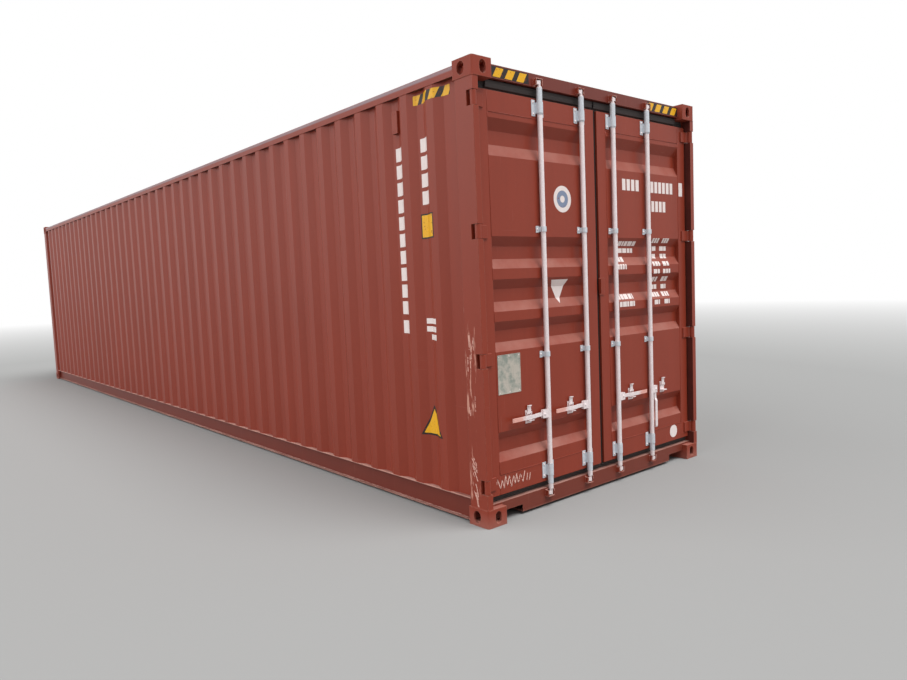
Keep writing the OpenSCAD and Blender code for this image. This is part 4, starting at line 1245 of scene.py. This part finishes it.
class CONTAINER_OT_data_plate(Operator):
    """Builds the blank data plate of the left door with its rim and rivets"""

    bl_idname = "container.data_plate"
    bl_label = "Blank data plate"

    def execute(self, context):
        x, y0, y1, z0, z1 = LEAF_X, -1.044, -0.838, 0.822, 1.077
        rim, line = 0.006, 0.0015
        plate = Shape()
        plate.block((x - 0.0005, y0, z0), (x + 0.0012, y1, z1), 0.0004)
        for low, high in (((y0, z0), (y1, z0 + rim)), ((y0, z1 - rim), (y1, z1)),
                          ((y0, z0 + rim), (y0 + rim, z1 - rim)),
                          ((y1 - rim, z0 + rim), (y1, z1 - rim))):
            plate.block((x, *low), (x + 0.0024, *high), 0.0006)
        for z in (z0 + 0.060, z0 + 0.115, z0 + 0.170, z0 + 0.205):
            plate.block((x, y0 + 0.014, z), (x + 0.0018, y1 - 0.014, z + line), 0.0003)
        for y in (y0 + 0.070, y0 + 0.140):
            plate.block((x, y, z0 + 0.062), (x + 0.0018, y + line, z0 + 0.168), 0.0003)
        plate.place("data_plate", "plate", "door_left")
        rivets = Shape()
        for y in (y0 + 0.012, 0.5 * (y0 + y1), y1 - 0.012):
            for z in (z0 + 0.012, z1 - 0.012):
                rivets.dome((x + 0.0012, y, z), ALONG, 0.0042, 0.0026)
        rivets.place("data_plate_rivets", "zinc", "door_left", smooth=True)
        return {"FINISHED"}


class CONTAINER_OT_chalk(Operator):
    """Draws the chalk strokes and the scrapes near the ground"""

    bl_idname = "container.chalk"
    bl_label = "Chalk and scrapes"

    def execute(self, context):
        draw = random.Random(29).uniform
        line = [(-1.126, 0.216)]
        while line[-1][0] < -0.830:
            rise = draw(0.268, 0.296) if len(line) % 2 else draw(0.206, 0.232)
            line.append((line[-1][0] + draw(0.010, 0.026), rise))
        strokes = stroke(line, 0.006)
        for u in (-0.812, -0.786):
            low = draw(0.214, 0.226)
            strokes += stroke([(u, low), (u + 0.010, low + 0.048)], 0.006)
        left = Surface("door", "door_left", "door_left_panel", "door_left_frame")
        left.lay("door_left_chalk", strokes, "chalk")

        scrapes = []
        for _ in range(9):
            u, v = draw(5.955, 6.015), draw(0.62, 1.20)
            points = [(u, v), (u + draw(-0.003, 0.003), v + draw(0.03, 0.10))]
            scrapes += stroke(points, draw(0.004, 0.010))
        for _ in range(16):
            u, v = draw(5.952, 5.992), draw(0.20, 0.50)
            du, dv = draw(0.014, 0.034), -draw(0.025, 0.090)
            points = [(u, v), (u + 0.55 * du, v + 0.4 * dv), (u + du, v + dv)]
            scrapes += stroke(points, draw(0.003, 0.009))
        post = Surface("left", "container", "rear_corner_posts")
        post.lay("post_left_scrapes", scrapes, "scrape", 0.8)
        return {"FINISHED"}


class CONTAINER_OT_vent_grilles(Operator):
    """Builds the rims and rivets of the ventilator covers"""

    bl_idname = "container.vent_grilles"
    bl_label = "Ventilator rims"

    def execute(self, context):
        low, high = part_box("ventilators")
        rims = Shape()
        for side in SIDES:
            for z in (low.z + 0.018, high.z - 0.018):
                for x in (low.x + 0.010, high.x - 0.028):
                    rims.dome((x, side * high.y - side * 0.0005, z), (0, side, 0), 0.0042, 0.0022)
            y, z = side * (high.y - 0.0035), high.z - 0.0005
            rims.bead([(low.x + 0.002, y, z), (high.x - 0.02, y, z)], 0.0024, UP)
        rims.place("ventilator_rivets", "frame", "container", "painted_steel", smooth=True)
        return {"FINISHED"}


class CONTAINER_OT_floor_screws(Operator):
    """Sets the rows of screws in the floor, over the cross members"""

    bl_idname = "container.floor_screws"
    bl_label = "Floor screws"

    def execute(self, context):
        rows, first, pitch = 39, 5.86, 0.304
        screws = Shape()
        profile = ((1.0, -0.5), (1.0, 0.35), (0.7, 0.9), (0.45, 0.9), (0.38, 0.35))
        for row in range(rows):
            for board in range(-3, 4):
                for offset in (0.045, 0.195, 0.344):
                    y = board * BOARD + offset
                    if abs(y) < 1.15:
                        screws.dome((first - row * pitch, y, FLOOR[1].z), UP, 0.006, 0.0008,
                                    profile, 8)
        screws.place("floor_screws", "screw", "container", "galvanised_steel")
        return {"FINISHED"}


class CONTAINER_OT_stage(Operator):
    """Builds the plain floor, the soft lights and the camera"""

    bl_idname = "container.stage"
    bl_label = "Floor, lights and camera"

    def execute(self, context):
        scene = context.scene
        stage = scene.container_stage
        self.floor(stage.floor_tone)
        self.world(scene, stage.sky)
        for name, toward, energy, angle in (("High soft sun", (0.42, 0.12, 0.90), 3.0, 40),
                                            ("Left soft sun", (-0.30, -0.80, 0.50), 1.45, 70)):
            light = bpy.data.lights.new(name, "SUN")
            light.energy = energy
            light.angle = math.radians(angle)
            lamp = bpy.data.objects.new(name, light)
            lamp.rotation_mode = "QUATERNION"
            lamp.rotation_quaternion = Vector(toward).to_track_quat("Z", "Y")
            scene.collection.objects.link(lamp)
        camera = bpy.data.cameras.new("Camera")
        camera.sensor_width = 36.0
        camera.lens = stage.lens
        camera.clip_start = 0.05
        camera.clip_end = 500.0
        viewer = bpy.data.objects.new("Camera", camera)
        turn = Matrix(((0.650107, -0.036637, 0.758959), (0.758743, 0.085009, -0.645819),
                       (-0.040858, 0.995706, 0.083063)))
        viewer.matrix_world = Matrix.Translation((9.2447, -4.1251, 1.5577)) @ turn.to_4x4()
        scene.collection.objects.link(viewer)
        scene.camera = viewer
        scene.view_settings.view_transform = "Standard"
        return {"FINISHED"}

    def floor(self, tone, reach=90.0, near=8.0, far=30.0):
        """A wide disc that keeps the shadow and fades to white for the camera."""
        work = bmesh.new()
        centre = work.verts.new((0.0, 0.0, 0.0))
        rim = [work.verts.new((reach * cos, reach * sin, 0.0)) for cos, sin in circle(96)]
        for start, end in zip(rim, rim[1:] + rim[:1]):
            work.faces.new((centre, start, end))
        material = bpy.data.materials.new("Studio floor")
        material.use_nodes = True
        sheet = NodeSheet(material.node_tree)
        matt = sheet.add("ShaderNodeBsdfDiffuse", {"Color": (tone, tone, tone * 0.985, 1.0)})
        away = sheet.vector("LENGTH", sheet.vector("MULTIPLY", sheet.where, (0.75, 1.0, 0.0)))
        eye = sheet.add("ShaderNodeLightPath").outputs["Is Camera Ray"]
        white = sheet.add("ShaderNodeEmission", {"Color": (1, 1, 1, 1), "Strength": 1.0})
        blend = sheet.add("ShaderNodeMixShader", {0: sheet.times(sheet.step(away, near, far), eye),
                                                  1: matt.outputs[0], 2: white.outputs[0]})
        sheet.add("ShaderNodeOutputMaterial", {0: blend.outputs[0]})
        new_object("studio_floor", work, material)

    def world(self, scene, level):
        """Soft light from all round, seen as white by the camera and in reflections."""
        scene.world = bpy.data.worlds.new("Studio world")
        scene.world.use_nodes = True
        sheet = NodeSheet(scene.world.node_tree)
        soft, white = (sheet.add("ShaderNodeBackground", {"Color": colour, "Strength": strength})
                       for colour, strength in (((0.97, 0.985, 1.0, 1.0), level),
                                                ((1, 1, 1, 1), 1.0)))
        rays = sheet.add("ShaderNodeLightPath").outputs
        mirrored = sheet.math("MAXIMUM", rays["Is Glossy Ray"], rays["Is Transmission Ray"])
        seen = sheet.math("MAXIMUM", rays["Is Camera Ray"], mirrored)
        blend = sheet.add("ShaderNodeMixShader", {0: seen, 1: soft.outputs[0],
                                                  2: white.outputs[0]})
        sheet.add("ShaderNodeOutputWorld", {0: blend.outputs[0]})


PIECES = (
    CONTAINER_OT_stage, CONTAINER_OT_finishes, CONTAINER_OT_frame_welds,
    CONTAINER_OT_wall_welds, CONTAINER_OT_door_welds, CONTAINER_OT_fasteners,
    CONTAINER_OT_seal_lips, CONTAINER_OT_stripes, CONTAINER_OT_door_marks,
    CONTAINER_OT_side_marks, CONTAINER_OT_data_plate, CONTAINER_OT_chalk,
    CONTAINER_OT_vent_grilles, CONTAINER_OT_floor_screws,
)


class CONTAINER_PT_sidebar(Panel):
    """Lists the container's pieces and settings"""

    bl_idname = "CONTAINER_PT_sidebar"
    bl_label = "Shipping container"
    bl_space_type = "VIEW_3D"
    bl_region_type = "UI"
    bl_category = "Container"

    def draw(self, context):
        column = self.layout.column()
        for name, kind in SETTINGS.items():
            for setting in kind.__annotations__:
                column.prop(getattr(context.scene, name), setting)
        for piece in PIECES:
            column.operator(piece.bl_idname)


CLASSES = (*SETTINGS.values(), *PIECES, CONTAINER_PT_sidebar)


def register():
    for kind in CLASSES:
        bpy.utils.register_class(kind)
    for name, kind in SETTINGS.items():
        setattr(bpy.types.Scene, name, PointerProperty(type=kind))


def unregister():
    for name in SETTINGS:
        delattr(bpy.types.Scene, name)
    for kind in reversed(CLASSES):
        bpy.utils.unregister_class(kind)


def main():
    register()
    for piece in PIECES:
        group, name = piece.bl_idname.split(".")
        getattr(getattr(bpy.ops, group), name)()


if __name__ == "__main__":
    main()
